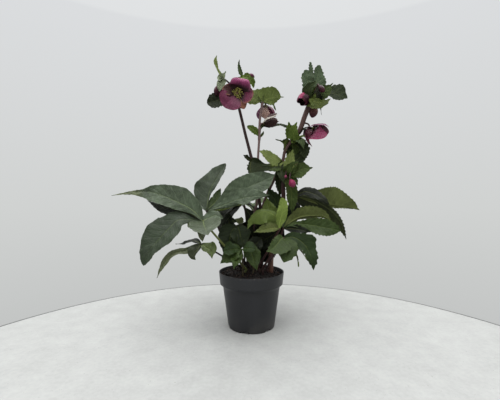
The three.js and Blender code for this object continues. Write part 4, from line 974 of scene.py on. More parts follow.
leafTable["leaf_right_tall"] = dict(root=[42, 16], bend=[[62, 15, 215], [86, 15, 270]], hub=[106, 15, 300],
    stalk=2.8, wear=("dark", "olive", "stalkRed"), leaflets=[
    blade([[124, 20, 296], [162, 28, 286], [200, 36, 278], [236, 41, 274], [269, 45, 265]],
        [0.05, 0.97, 0.25], (-14, 6), [1.3, 3.9, 5.3, 6.8, 8, 8, 8, 6.3, 5.3, 3.2, 0.8],
        [1.3, 8, 18, 29, 38, 43, 44, 38, 26, 16, 1.1]),
    blade([[126, 4, 310], [146, -2, 304], [163, -7, 294], [179, -9, 279]], [0.1, -0.85, 0.5], (-6, -6),
        [3.9, 10, 13, 14, 14, 13, 10, 6.7, 0.8], [2.6, 8, 11, 12, 13, 12, 10, 6.2, 0.8], "ink"),
    blade([[142, 24, 292], [171, 27, 279], [196, 28, 261], [215, 27, 237], [223, 25, 215], [229, 24, 195]],
        [0.25, 0.9, 0.35], (4, -6), [13, 25, 28, 28, 25, 21, 14, 8, 1.1],
        [1.3, 3.9, 6.8, 8, 8, 8, 6.3, 4.7, 1.1], under="darkOlive"),
    freeBlade([94, 6, 240], [0, -1, 0.15], 36, 4, tint="ink"),
    freeBlade([150, 100, 290], [0.2, 0.4, 0.9], 50, 14),
])
leafTable["leaf_back_left"] = dict(root=[-18, 20], bend=[[-42, 48, 190]], hub=[-70, 75, 225], stalk=2.7,
    wear=("dark", "olive", "stalkBrown"), leaflets=[
    freeBlade([-178, 150, 212], [-0.3, 0.3, 0.9], 52, 18),
    freeBlade([-100, 196, 236], [0, 0.5, 0.85], 54, 18),
    freeBlade([-182, 62, 232], [-0.3, 0, 0.95], 42, 14),
    freeBlade([-30, 165, 215], [0.2, 0.4, 0.9], 44, 16),
])
leafTable["leaf_back_right"] = dict(root=[12, 45], bend=[[45, 62, 190]], hub=[75, 80, 230], stalk=2.7,
    wear=("dark", "olive", "stalkBrown"), leaflets=[
    freeBlade([190, 140, 222], [0.3, 0.3, 0.9], 54, 18),
    freeBlade([122, 196, 234], [0.1, 0.5, 0.85], 54, 18),
    freeBlade([196, 66, 226], [0.3, 0.1, 0.95], 44, 14),
    freeBlade([48, 176, 214], [-0.1, 0.4, 0.9], 44, 16),
])
leafTable["leaf_back"] = dict(root=[-4, 32], bend=[[0, 60, 215]], hub=[4, 84, 262], stalk=2.7,
    wear=("mid", "olive", "stalkBrown"), leaflets=[
    freeBlade([-58, 172, 286], [-0.2, 0.2, 1], 46, 16),
    freeBlade([64, 176, 284], [0.2, 0.2, 1], 46, 16),
    freeBlade([6, 210, 262], [0, 0.4, 0.9], 46, 18),
])

# the colour of a blade whose last third turns from its main tint to that of its tip
def tipPaint(main, tip):
    return lambda u, v: main + (tip - main) * eased(u, 0.66, 0.76)[..., None]


# one leaf: a stalk with a knot at its end, and the leaflets that spread from the knot
def makeLeaf(name, leaf, order):
    upper, under, stalkTint = [leafTints[key] for key in leaf["wear"]]
    grey = leaf["wear"][0] == "grey"
    piece = Piece(name.replace("leaf", "foliage"), "grey_leaf" if grey else "leaf",
                  [greyLeaf if grey else greenLeaf, stemSkin], [name])
    hub = vec(leaf["hub"])
    s = leafShape
    path = alongCurve([*rootPoints(leaf["root"]), *leaf["bend"], leaf["hub"]], s["rows"])
    run = np.linspace(0, 1, len(path))
    (low, near), (high, far), (rib, ribs) = s["footSwell"], s["hubSwell"], s["ribs"]
    girth = leaf["stalk"] * (1 - s["taper"] * run) + low * bell(run, near) + high * bell(1 - run, far)
    stalk, where = tube(path, girth, s["sides"], lambda along, around: rib * np.cos(ribs * around))
    # the stalk's tint runs from three quarters at its foot to one and a quarter at its hub: painted shade low
    # down among the leaves
    piece.addRound((stalk, where), 1, stalkTint * (0.75 + 0.5 * run[:, None, None]) + 0 * stalk)
    size = leaf["stalk"] * s["knot"]
    outline = vec(s["knotOutline"]) * size * vec(s["knotDraw"])
    piece.addRound(turnedForm(hub, path[-1] - path[-6], outline, s["knotSides"]), 1, stalkTint)
    for k, leaflet in enumerate(leaf["leaflets"]):
        start = hub + unit(heading(leaflet) - hub) * size * 0.5
        tint, back = leafTints.get(leaflet.get("tint"), upper), leafTints.get(leaflet.get("under"), under)
        if "tipTint" in leaflet:
            tint = tipPaint(tint, leafTints[leaflet["tipTint"]])
        spec = {"toothDepth": leaf.get("teeth", s["teeth"]), **leaflet}
        addBlade(piece, start, spec, "leaflet", tint, back, order * 7 + k)
    piece.lay()


for order, (name, leaf) in enumerate(leafTable.items()):
    makeLeaf(name, leaf, order)
print("leaves made:", len(leafTable))


# flower stems and their bracts

# swell and reach: how much thicker a stem is where bracts sit, and how far from them; collar: how
# much thicker it is in the soil; reddens: the shares of its length between which its tint changes;
# ribs: how high, how many and how slowly they wind; knobs: how high, how long and how many across;
# flare: how much thicker a side stalk is at its foot, as a share; bractStart and claspShare: shares
# of the radius of a whorl's ring
stemShape = {"sides": 20, "rows": 190, "sideSides": 12, "sideRows": 26, "swell": 0.9, "reach": 6,
             "seatBack": 3, "sink": 0.6, "collar": 0.4, "reddens": (0.1, 0.75), "ribs": (0.13, 5, 60),
             "knobs": (0.1, 5, 2), "flare": (0.35, 0.15), "bractStart": 0.7, "claspShare": 1.05}
# low and high: the tints of the stem's foot and top; path: points and radii; side: what each side
# stalk carries, where it leaves the stem, its bends and its radius
stemTable = {}
stemTable["stem_left"] = dict(root=[24, 12], low=(46, 30, 26), high=(42, 27, 25), path=[[26, 12, 180, 4],
    [23, 10, 254, 3.8], [13, 6, 325, 3.7], [0, -4, 387, 3.6], [-14, -6, 442, 3.4], [-28, -5, 500, 3.3],
    [-37, -2, 532, 3.2], [-45, 0, 552, 3]], side=[
    ("bloom_left", [-44, 0, 551], [[-39, -4, 556], [-33, -12, 547]], 2),
    ("bud_far_left", [-44, 0, 551], [[-52, -3, 562], [-66, -5, 571], [-76, -5, 566]], 2),
    ("bud_left", [-44, 0, 551], [[-36, 3, 566], [-24, 4, 577]], 1.8),
])
stemTable["stem_middle"] = dict(root=[0, 11], low=(50, 34, 32), high=(96, 78, 75), path=[[2, 8, 165, 3.2],
    [4, 1, 205, 3], [7, -8, 260, 2.9], [13, -10, 290, 2.8], [15, -12, 379, 2.6], [18, -15, 432, 2.6],
    [19, -18, 470, 2.6], [25, -20, 513, 2.6]], side=[
    ("bloom_middle", [25, -20, 512], [[29, -12, 522]], 1.8),
    ("bloom_middle_low", [19, -17.5, 461], [[22, -16, 464.5]], 1.8),
])
stemTable["stem_right"] = dict(root=[18, 30], low=(46, 26, 25), high=(74, 55, 51), path=[[19, 30, 180, 4.6],
    [26, 30, 261, 4.2], [40, 28, 307, 3.8], [63, 22, 356, 3.6], [75, 18, 383, 3.6], [81, 14, 409, 3.6],
    [98, 9, 434, 3.8], [115, 5, 458, 5.4], [124, 0, 484, 5.8], [133, -5, 509, 5.6], [141, -5, 533, 4.6]],
    side=[
    ("bloom_right", [115, 5, 460], [[124, 5, 470], [134, 8, 469]], 2),
    ("bloom_right_top", [141, -5, 530], [[137, -8, 533]], 2),
    ("bud_right_top", [141, -5, 532], [[147, -24, 543]], 1.5),
    ("bud_right_hanging", [141, -5, 532], [[146, -1, 530], [149, 1, 521]], 1.8),
])
stemTable["stem_short"] = dict(root=[44, -8], low=(92, 64, 52), high=(44, 24, 24), path=[[45, -8, 155, 6.2],
    [50, -7, 190, 5.8], [64, -5, 216, 5.4], [69, -4, 240, 5.2], [74, -4, 290, 5], [74, -4, 327, 4.8],
    [80, -4, 345, 4.4], [86, -4, 357, 3.8]], side=[
    ("bud_short", [84, -4, 353], [[89, -14, 356]], 1.8),
    ("bud_short_small", [84, -4, 353], [[80, -12, 357]], 1.5),
])
# ink is near-black, painted shade for a hollow among the bracts; shade is a dark tint painted for bracts
# lying in shadow
bractTints = paints(
    deep=(25, 33, 17), blue=(52, 64, 46), fresh=(62, 77, 30), mid=(44, 56, 25), olive=(64, 74, 34),
    shade=(17, 22, 12), pale=(88, 98, 54), silver=(98, 106, 84), sage=(50, 61, 38), lime=(48, 56, 20),
    ink=(9, 11, 7))
# at: the middle of the ring from which the bracts leave; along: the way the stem runs there
whorlTable = {}
whorlTable["bracts_left_low"] = dict(stem="stem_left", at=[1, -4, 384], along=[-0.2, -0.1, 1], ring=3.6,
    bracts=[
    blade([[-4.5, -8, 383], [-11, -12, 387], [-19, -14, 393]], [0, -0.95, 0.3], (10, 20),
        [2.4, 3.8, 4.8, 4.8, 3.8, 1.9, 0.7], [2.4, 4.3, 5.7, 6.2, 6.7, 4.3, 0.7], "shade"),
    blade([[11, 2, 375], [23, 8, 374], [40, 14, 371]], [0, -0.85, 0.5], (12, 12),
        [2.5, 3.7, 4.9, 5.4, 4.9, 2.5, 0.7], [2.5, 7, 11, 12, 11, 6.1, 0.7], "shade"),
    blade([[-2.2, -14, 374], [-3.3, -22, 362], [1.2, -30, 341]], [0.1, -0.95, 0.3], (6, 20),
        [4.7, 28, 49, 56, 54, 40, 7], [2.4, 3.8, 5.6, 8, 8, 7, 0.7], "deep"),
])
whorlTable["bracts_left"] = dict(stem="stem_left", at=[-41, -1, 541], along=[-0.4, 0.1, 1], ring=3.2, bracts=[
    blade([[-60, 2, 533], [-79, 6, 525], [-105, 8, 519]], [-0.2, -0.95, 0.25], (8, 14),
        [2.4, 15, 21, 22, 23, 23, 21, 12], [2.4, 12, 20, 21, 22, 21, 19, 10], "shade"),
    freeBlade([-60, 40, 552], [-0.3, 0.3, 0.9], 30, 6),
])
whorlTable["bracts_far_left"] = dict(stem="stem_left", at=[-64, -5, 570], along=[-0.85, -0.1, 0.45], ring=2.2,
    bracts=[
    blade([[-70, -6, 577], [-75, -6, 586], [-82, -6, 600], [-84, -6, 612], [-80, -6, 625]], [0.5, -0.85, 0.1],
        (20, 30), [2.4, 3.9, 3.4, 3.4, 4.8, 5.1, 3.1, 1], [2.4, 4.1, 3.6, 3.4, 5.3, 5.5, 3.9, 1], "pale"),
    blade([[-64, -8, 574], [-61, -10, 580], [-59, -11, 586]], [-0.3, -0.9, 0.4], (8, 8),
        [11, 16, 12, 8, 5.3, 2.4, 0.7], [4.8, 6.2, 4.3, 2.6, 1.7, 1.2, 0.7], "silver"),
    blade([[-69, -9, 560], [-71, -11, 550], [-73, -12, 538]], [-0.1, -1, 0.1], (22, -8),
        [7, 12, 13, 12, 9, 5.3, 1], [7, 10, 11, 10, 8, 5.3, 1], "silver"),
])
whorlTable["bracts_left_right"] = dict(stem="stem_left", at=[-25, 4, 576], along=[0.85, 0, 0.5], ring=2,
    bracts=[
    blade([[-24, 2, 582], [-27, 1, 594], [-29, 1, 607], [-28, 0, 618]], [0.1, -1, 0.1], (26, 26),
        [3.2, 5.8, 6.3, 5.6, 4.1, 2.4, 0.7], [3.2, 5.4, 5.4, 4.4, 3.2, 1.9, 0.7], "sage"),
    blade([[-17, -8, 573], [-6.8, -6, 572], [1.4, -2, 564], [4.7, 2, 552]], [0.1, -0.95, 0.3], (12, 12),
        [3.6, 8, 10, 10, 9, 6.8, 2.4], [3.6, 6.3, 8, 9, 8, 5.8, 1.9], "fresh"),
    freeBlade([-22, 44, 572], [0.1, 0.2, 1], 24, 6),
    blade([[-29, -2, 574], [-31, -3, 572], [-34, -4, 570]], [0, -0.8, 0.6], (12, 12),
        [1.9, 3.4, 3.4, 2.4, 0.7], [1.9, 2.9, 2.9, 1.9, 0.7], "fresh", clasp=0.8),
])
whorlTable["bracts_middle"] = dict(stem="stem_middle", at=[18, -15, 432], along=[0.05, -0.05, 1], ring=2.7,
    bracts=[
    blade([[13, -17, 441], [3.5, -19, 450], [-10, -20, 458]], [0.2, -0.95, 0.25], (12, 12),
        [1.4, 3.8, 7, 9, 10, 9, 7, 3.8], [1.9, 4.7, 8, 10, 9, 8, 6.6, 3.3], "fresh"),
    blade([[22, -14, 436], [26, -13, 442], [28, -12, 448]], [0, -1, 0.2], (12, 12), [1.4, 2.4, 2.9, 2.4, 0.7],
        tint="mid"),
])
whorlTable["bracts_middle_high"] = dict(stem="stem_middle", at=[18, -16, 449], along=[0.05, -0.1, 1],
    ring=2.7, bracts=[
    blade([[26, -12, 461], [43, -6, 463], [60, 0, 466], [77, 6, 466], [88, 10, 460], [89, 12, 447]],
        [0.1, -0.75, 0.6], (14, -14), [1.9, 5.4, 7, 5.4, 3.7, 3.7, 4.4, 2.9, 1.2],
        [1.9, 4.9, 6.8, 6.3, 4.4, 5.4, 6.3, 4.9, 1.9], "deep"),
])
whorlTable["bracts_middle_top"] = dict(stem="stem_middle", at=[24, -20, 509], along=[0.15, -0.05, 1],
    ring=2.7, bracts=[
    blade([[10, -18, 518], [-3.3, -14, 526], [-14, -10, 532]], [-0.1, -0.97, 0.2], (6, -4),
        [2.4, 11, 14, 17, 18, 17, 12, 4.8], [2.4, 19, 26, 27, 26, 21, 14, 4.8], "olive"),
    blade([[33, -22, 516], [46, -25, 519], [59, -28, 520], [73, -30, 520]], [0.1, -0.97, 0.2], (6, -6),
        [2.3, 22, 29, 27, 26, 23, 16, 3.3, 0.7], [2.3, 9, 14, 16, 16, 12, 8, 2.6, 0.7], "olive"),
    freeBlade([44, 10, 540], [0.2, -0.8, 0.5], 26, 2, tint="olive"),
    blade([[38, -18, 510], [49, -16, 507], [56, -14, 494]], [0.3, -0.8, 0.3], (12, 12),
        [1.9, 3.3, 4.3, 3.8, 2.6, 0.7], [1.9, 2.9, 3.6, 3.3, 2.4, 0.7], "fresh"),
])
whorlTable["bracts_right_low"] = dict(stem="stem_right", at=[74, 18, 380], along=[0.4, -0.2, 1], ring=3.7,
    bracts=[
    blade([[63, 6, 384], [48, -2, 391], [34, -10, 398], [18, -16, 402]], [0.2, -0.95, 0.25], (6, -10),
        [4.8, 14, 20, 23, 22, 18, 12, 3.9], [2.4, 6.8, 10, 11, 11, 9, 6.8, 2.4], "pale"),
    blade([[63, 6, 371], [48, -6, 366], [29, -16, 357]], [-0.1, -0.95, 0.3], (12, 12),
        [2.4, 11, 16, 18, 16, 11, 2.9], [2.4, 8, 12, 12, 11, 8, 2.4], "mid"),
    blade([[67, 0, 365], [66, 4, 344], [66, 6, 321], [68, 8, 295]], [0, -0.98, 0.1], (10, 10),
        [2.4, 8, 11, 12, 11, 9, 4.9, 0.7], tint="deep"),
    blade([[67, 0, 365], [69, -14, 347], [74, -22, 326]], [-0.1, -0.9, 0.4], (16, 16),
        [2.4, 8, 11, 11, 9, 5.3, 0.7], [2.4, 10, 13, 12, 10, 5.7, 0.7], "deep"),
    freeBlade([104, 50, 366], [0.2, 0.4, 0.9], 28, 5),
])
whorlTable["bracts_right"] = dict(stem="stem_right", at=[95, 10, 430], along=[0.6, -0.2, 0.9], ring=3.9,
    bracts=[
    blade([[94, 8, 436], [89, 4, 454], [87, 0, 473]], [0.1, -1, 0.05], (14, 10),
        [2.4, 11, 13, 12, 9, 5.4, 1.5], [2.4, 12, 14, 12, 9, 5.4, 1.5], "fresh"),
    blade([[99, 0, 432], [99, -6, 450], [105, -10, 470]], [-0.2, -1, 0.05], (10, 16),
        [2.4, 12, 15, 14, 11, 6.3, 1.4], [2.4, 11, 12, 11, 8, 4.3, 1.2], "fresh"),
    blade([[86, 24, 429], [72, 18, 431], [56, 14, 435]], [0.1, -0.95, 0.3], (10, 20),
        [8, 24, 26, 22, 12, 2.5, 1.2, 0.7], [5, 12, 14, 10, 4, 1.5, 1, 0.7], "mid"),
    blade([[91, 24, 420], [83, 20, 410], [80, 18, 398]], [-0.2, -0.95, 0.2], (14, 14),
        [2.5, 10, 14, 14, 11, 6.5, 0.8], [2.5, 8, 10, 10, 8, 4.5, 0.8], "deep"),
    blade([[106, 0, 434], [115, -4, 437], [126, -8, 439]], [0.1, -0.7, 0.6], (12, 12),
        [1.9, 4.3, 5.3, 4.8, 3.4, 0.7], [1.9, 6.3, 9, 8, 5.3, 0.7], "fresh"),
    blade([[99, 24, 423], [97, 24, 403], [94, 22, 382]], [0, -1, 0.1], (12, 12), [2.5, 15, 19, 19, 17, 13, 5],
        [2.5, 14, 16, 16, 15, 11, 5], "olive"),
    blade([[109, 16, 428], [106, 14, 414], [104, 12, 394]], [0.1, -0.95, 0.3], (10, 14),
        [2.5, 12, 16, 15, 12, 7, 2], [2.5, 12, 15, 14, 11, 7, 2], "mid"),
    blade([[111, 0, 424], [121, -2, 409], [124, -6, 386]], [0.1, -0.97, 0.2], (10, 12),
        [2.4, 9, 14, 15, 14, 10, 3.9], [2.4, 11, 12, 11, 11, 11, 4.8], "deep"),
    blade([[107, -6, 429], [115, -10, 422], [120, -12, 407]], [0.1, -0.9, 0.4], (12, 12),
        [1.4, 7, 10, 9, 5.8, 1], [1.4, 7, 9, 8, 4.8, 1], "sage"),
    blade([[113, 6, 449], [122, 2, 457], [133, -2, 461]], [0.1, -0.8, 0.5], (12, 12),
        [1, 1.5, 2.9, 3.4, 2.4, 0.7], [1, 2, 4.9, 5.4, 3.4, 0.7], "shade", clasp=0.8),
])
whorlTable["bracts_right_top"] = dict(stem="stem_right", at=[140, -5, 530], along=[0.25, 0, 1], ring=4.9,
    bracts=[
    blade([[135, -6, 547], [130, -5, 566], [127, -4, 580], [127, -3, 593]], [0, -1, 0.1], (6, -6),
        [3.6, 10, 16, 16, 14, 14, 10, 6.8], [3.6, 7, 12, 14, 16, 17, 18, 16], "blue"),
    blade([[141, 2, 552], [140, 4, 576], [140, 6, 596], [139, 8, 616]], [0.1, -1, 0.1], (8, 8),
        [2.4, 7, 10, 8, 6.6, 6.4, 6.4, 6.1, 5.4], [2.4, 7, 10, 8, 6.4, 6.1, 6.1, 5.9, 5.4], "blue"),
    blade([[146, -2, 546], [151, 0, 565], [156, 2, 587], [160, 2, 606]], [0, -1, 0.1], (8, 2),
        [2.4, 4.9, 7, 10, 12, 12, 12, 10], [2.4, 3.9, 8, 23, 21, 16, 10, 4.9], "blue"),
    blade([[137, -12, 524], [130, -22, 536], [133, -30, 546], [144, -32, 555]], [0, -1, 0.2], (-10, 20),
        [4.7, 14, 19, 16, 11, 6.6, 1.4], [4.7, 5.6, 7, 8, 8, 5.6, 1.4], "sage"),
    blade([[148, -14, 529], [159, -22, 535], [171, -28, 542], [182, -32, 551]], [0, -0.97, 0.25], (16, 4),
        [7, 17, 18, 14, 9, 3.8, 0.7], [7, 15, 21, 22, 17, 8, 0.9], "mid"),
    # a small near-black blade: painted shade in the hollow behind the bud
    blade([[146, -30, 516], [145, -33, 528], [148, -34, 542]], [0, -0.98, 0.2], (-14, -14),
        [4.6, 10, 12, 13, 12, 9, 2.3], [4.6, 10, 12, 13, 12, 8, 2.3], "ink", clasp=0.5),
])
whorlTable["bracts_right_under"] = dict(stem="stem_right", at=[137, -5, 519], along=[0.3, -0.05, 1], ring=5.3,
    bracts=[
    blade([[156, -8, 526], [172, -10, 533], [187, -12, 534], [203, -12, 530], [221, -10, 524]],
        [0, -0.98, 0.2], (-6, 10), [2.4, 4.8, 7, 10, 17, 25, 30, 24, 5.3],
        [2.4, 4.8, 4.8, 6.2, 10, 17, 16, 11, 2.4], "deep"),
    blade([[137, -22, 518], [140, -30, 504], [144, -34, 491]], [0.1, -0.95, 0.3], (10, 10),
        [2.3, 12, 19, 20, 16, 10, 2.3], [2.3, 7, 10, 11, 9, 5.6, 1.4], "olive"),
    blade([[138, -28, 512], [154, -37, 505], [176, -34, 515]], [0.1, -0.95, 0.3], (6, -8),
        [4.6, 14, 15, 14, 12, 6.9, 1.4], [6.9, 14, 17, 17, 13, 8, 1.4], "lime"),
    blade([[157, 8, 515], [164, 12, 506], [167, 14, 492]], [0.2, -0.9, 0.3], (12, 12),
        [2, 4.4, 4.4, 2.7, 1.5, 0.7], [2, 4, 4, 2.5, 1.5, 0.7], "shade", clasp=0.5),
])
whorlTable["bracts_short"] = dict(stem="stem_short", at=[82, -4, 350], along=[0.45, 0, 1], ring=4.2, bracts=[
    blade([[93, -10, 350], [104, -14, 355], [117, -18, 360], [130, -22, 362], [139, -24, 363]],
        [0.1, -0.97, 0.25], (6, 10), [2.4, 6.2, 10, 14, 16, 14, 6.2, 0.9], [2.4, 8, 16, 20, 18, 15, 6.6, 0.9],
        "mid"),
    blade([[91, -10, 343], [100, -13, 336], [106, -14, 323]], [0.2, -0.85, 0.4], (12, 12),
        [2.4, 5.7, 7, 6.2, 4.3, 0.7], [2.4, 5.3, 6.7, 5.7, 3.8, 0.7], "mid"),
    blade([[86, -10, 336], [91, -14, 313], [92, -16, 290], [92, -18, 260]], [0, -1, 0.05], (18, 26),
        [4.8, 11, 14, 15, 14, 13, 8, 1.2], [4.8, 11, 15, 15, 15, 13, 8, 1.2], "mid"),
    blade([[95, 4, 367], [107, 6, 384], [121, 4, 400], [137, 2, 414]], [-0.3, -0.9, 0.2], (12, 12),
        [2.4, 7, 10, 11, 10, 8, 2.9], [2.4, 11, 16, 19, 18, 15, 5.9], "deep"),
    blade([[79, -12, 354], [83, -20, 362], [90, -24, 375]], [0, -0.9, 0.4], (10, 16),
        [2.4, 7, 10, 10, 7, 3.8, 0.7], [2.4, 8, 11, 11, 8, 4.7, 0.7], "mid"),
    blade([[83, -8, 355], [87, -12, 379], [95, -14, 406]], [0, -1, 0.1], (8, 12),
        [2.4, 8, 12, 12, 10, 5.7, 1], [2.4, 10, 13, 13, 11, 6.2, 1], "pale"),
    freeBlade([88, 46, 340], [0, 0.3, 0.9], 26, 5),
    blade([[91, -12, 356], [97, -15, 367], [108, -17, 378]], [0, -0.9, 0.4], (8, 14),
        [2.4, 10, 14, 14, 11, 7, 1], [2.4, 7, 10, 10, 8, 4.8, 1], "mid"),
])
# each: blades in place of the plain sepals, by their number; bowl, cup and roll shape the plain ones;
# spread and reach: how far the stamens lean out and stand out; dark: how far the dark throat, partly painted
# shade, reaches out
bloomTable = {}
bloomTable["bloom_left"] = dict(at=[-30, -34, 526], look=[-0.14, -0.96, -0.14], turn=0, open=76, bowl=5,
    cup=4, roll=20, sepals=[[38, 48], [36, 46], [38, 47], [42, 50], [37, 46]], spread=14, reach=9, each={
    0: blade([[-20, -37, 524], [-9, -43, 523], [4.6, -45, 523]], [-0.1, -0.95, 0.1], (8, 6),
        [4.6, 6.9, 10, 13, 15, 15, 11], [4.6, 10, 18, 24, 24, 21, 14], "magenta", rim="tan", dark=0.2),
    # the top sepal: its light rim is a painted highlight, and the dark at its foot is painted shade under its
    # arch
    1: blade([[-28, -38, 534], [-25, -46, 541], [-24, -50, 547], [-23, -46, 555]], [0, -0.9, -0.35], (14, 14),
        [4.5, 14, 23, 26, 24, 18, 10], [4.5, 14, 23, 26, 24, 19, 11], "bright", rim="light", dark=0.33),
    2: blade([[-39, -38, 528], [-49, -43, 531], [-64, -44, 534]], [0.1, -0.95, 0.1], (10, 16),
        [4.6, 8, 11, 14, 14, 13, 9], [4.6, 11, 15, 15, 13, 11, 6.9], "umber", rim="tan", dark=0.25),
    3: blade([[-37, -40, 518], [-48, -46, 506], [-60, -45, 493]], [0.1, -0.97, 0.1], (4, 6),
        [5.7, 13, 22, 27, 27, 24, 16], [5.7, 11, 20, 27, 28, 25, 17], "mauve", rim="magenta", dark=0.03),
    4: blade([[-24, -37, 513], [-20, -41, 501], [-16, -41, 490]], [0, -0.95, 0], (10, 10),
        [4.6, 10, 13, 13, 12, 10, 6.9], [4.6, 10, 13, 14, 13, 12, 8], "tan", rim="tan"),
})
bloomTable["bloom_middle"] = dict(at=[33, 3, 511], look=[0.1, 0.45, -0.9], turn=20, open=38, bowl=7, cup=10,
    roll=44, sepals=[[36, 27], [37, 28], [36, 27], [35, 26], [36, 27]], spread=6, reach=14, each={
    0: blade([[25, 4, 507], [19, 6, 498], [16, 8, 491], [22, 10, 479]], [0.6, 0.7, 0.2], (10, 10),
        [3.7, 4.9, 6.4, 7, 7, 5.9, 1.5], [3.7, 7, 9, 9, 9, 6.4, 1.5], under="lilac", underRim="mauve"),
    3: blade([[33, -2, 503], [32, -6, 491], [33, -4, 477]], [0, 0.98, 0.1], (24, 24),
        [4.8, 11, 14, 14, 13, 10, 2.4], under="blushOut", underRim="mauve"),
    4: blade([[41, 2, 506], [48, 2, 498], [51, 4, 488]], [-0.6, 0.7, 0.2], (10, 10), [3.7, 5.9, 7, 8, 6.8, 2],
        under="magenta", underRim="mauve"),
})
bloomTable["bloom_middle_low"] = dict(at=[29, -14, 466], look=[0.95, -0.12, 0.18], turn=50, open=26, bowl=5,
    cup=10, roll=44, sepals=[[37, 20], [36, 20], [34, 19], [35, 20], [36, 20]], spread=4, reach=15,
    tint="umber", under="brown", rim="umber", underRim="umber", each={
    0: blade([[27, -30, 465], [36, -36, 470], [48, -38, 474], [58, -38, 479]], [0.1, -0.8, 0.6], (-10, 10),
        [1.8, 4.6, 6, 6.5, 5.5, 3.7, 0.9], [1.8, 4.2, 5.1, 5.1, 4.2, 2.8, 0.9], "silver", rim="silver",
        under="silver", underRim="fawn", dark=-0.3),
    3: blade([[33, -18, 464], [44, -24, 464], [62, -26, 467]], [0, 0.95, -0.2], (20, 20),
        [2.4, 7, 9, 9, 8, 4.7, 1.2], [2.4, 8, 11, 12, 10, 5.6, 1.2], under="brown", underRim="umber"),
    4: blade([[32, -12, 465], [43, -10, 465], [60, -6, 465]], [0, 0.8, -0.5], (10, 10),
        [2.4, 6.2, 8, 8, 6.7, 3.8, 1.2], under="brown"),
})
bloomTable["bloom_right"] = dict(at=[143, 4, 458], look=[0.75, -0.5, -0.42], turn=30, open=36, bowl=9, cup=8,
    roll=44, sepals=[[34, 36], [33, 34], [34, 36], [33, 34], [34, 36]], spread=7, reach=18, filament="bright",
    each={
    0: blade([[138, -2, 447], [151, -20, 440], [172, -19, 438]], [0.1, -1, 0.1], (4, 8),
        [10, 19, 21, 21, 20, 17, 10], [12, 19, 20, 20, 18, 14, 8], "blush", rim="crimson", dark=0.2),
    1: blade([[141, 4, 453], [155, -12, 450], [177, -15, 445]], [0.1, -1, 0], (6, 4),
        [7, 13, 14, 15, 14, 12, 9], [7, 14, 17, 19, 19, 17, 12], "wine", rim="magenta", dark=0.2),
    2: blade([[136, 2, 461], [148, -12, 462], [164, -20, 461], [176, -20, 455]], [0.1, -0.7, 0.7], (10, 10),
        [2.9, 3.8, 4.3, 4.3, 4.1, 3.3, 2.4], [2.9, 5.3, 6.2, 6.2, 6, 4.8, 2.9], "lilac", rim="lilac",
        under="lilac", underRim="lilac", dark=-0.2),
    3: blade([[134, 0, 457], [129, -12, 444], [130, -14, 430]], [0, -1, 0.1], (10, 30),
        [3.4, 8, 10, 10, 9, 6.7, 3.4], [2.9, 4.6, 5, 4.8, 4.3, 3.4, 1.9], "wine", rim="magenta"),
    4: blade([[129, -10, 434], [129, -14, 423], [139, -14, 412]], [0, -1, 0.2], (10, 20),
        [2.4, 4.3, 5.3, 4.8, 4.8, 3.8, 1.2], [2.4, 8, 11, 7, 3.3, 2.9, 1], "wine", rim="magenta",
        under="magenta"),
})
# the nearly closed cup is near-black inside, painted shade, and the light rim on sepal 1's under side is a
# painted highlight
bloomTable["bloom_right_top"] = dict(at=[126, -13, 526], look=[-0.6, -0.42, -0.65], turn=10, open=24, bowl=9,
    cup=10, roll=44, sepals=[[25, 25], [25, 24], [26, 25], [24, 24], [25, 25]], spread=4, reach=8,
    tint="throat", under="deep", underRim="magenta", each={
    1: dict(under="crimson", underRim="light"),
    2: dict(under="magenta", underRim="mauve"),
})
budTable = {
    "bud_far_left": dict(at=[-80, 4, 557], look=[-0.1, 0, -1], long=23, wide=15, turn=20, tint="wine",
        tip="deep"),
    "bud_left": dict(at=[-6, 0, 583], look=[0.85, 0, -0.5], long=15, wide=11, turn=0, tint="plum",
        tip="wine"),
    "bud_right_top": dict(at=[150, -35, 543], look=[0.45, -0.35, -0.8], long=20, wide=13, turn=30,
        tint="deep", tip="wine"),
    "bud_right_hanging": dict(at=[148, 2, 510], look=[-0.22, 0, -1], long=28, wide=21, turn=0, tint="rust",
        tip="wine"),
    # bud_short turns from crimson at its foot to a lighter rose at its tip, which is a painted highlight
    "bud_short": dict(at=[88, -26, 335], look=[0.4, -0.15, -0.9], long=18, wide=16, turn=40, tint="crimson",
        tip="rose"),
    "bud_short_small": dict(at=[78, -17, 347], look=[-0.1, -0.2, -1], long=9, wide=7, turn=10),
}
# outline: how far along and how wide, as shares of the bud; its laps wind as they rise
budShape = {
    "rows": 26, "sides": 54, "laps": 3, "wind": 0.35, "step": 0.13, "full": 1.02, "lapFrom": 0.3,
    "tintFrom": 0.3,
    "outline": [(-0.14, 0.16), (-0.06, 0.26), (0.0, 0.36), (0.1, 0.6), (0.22, 0.8), (0.35, 0.94),
                (0.48, 1.0), (0.62, 0.95), (0.76, 0.8), (0.88, 0.56), (0.96, 0.32), (1.0, 0.1)],
}

# how far in front of its stalk's end a flower sits: its seat, or the foot of a bud
def seatBack(flower):
    return -budShape["outline"][0][0] * flower["long"] if "long" in flower else stemShape["seatBack"]


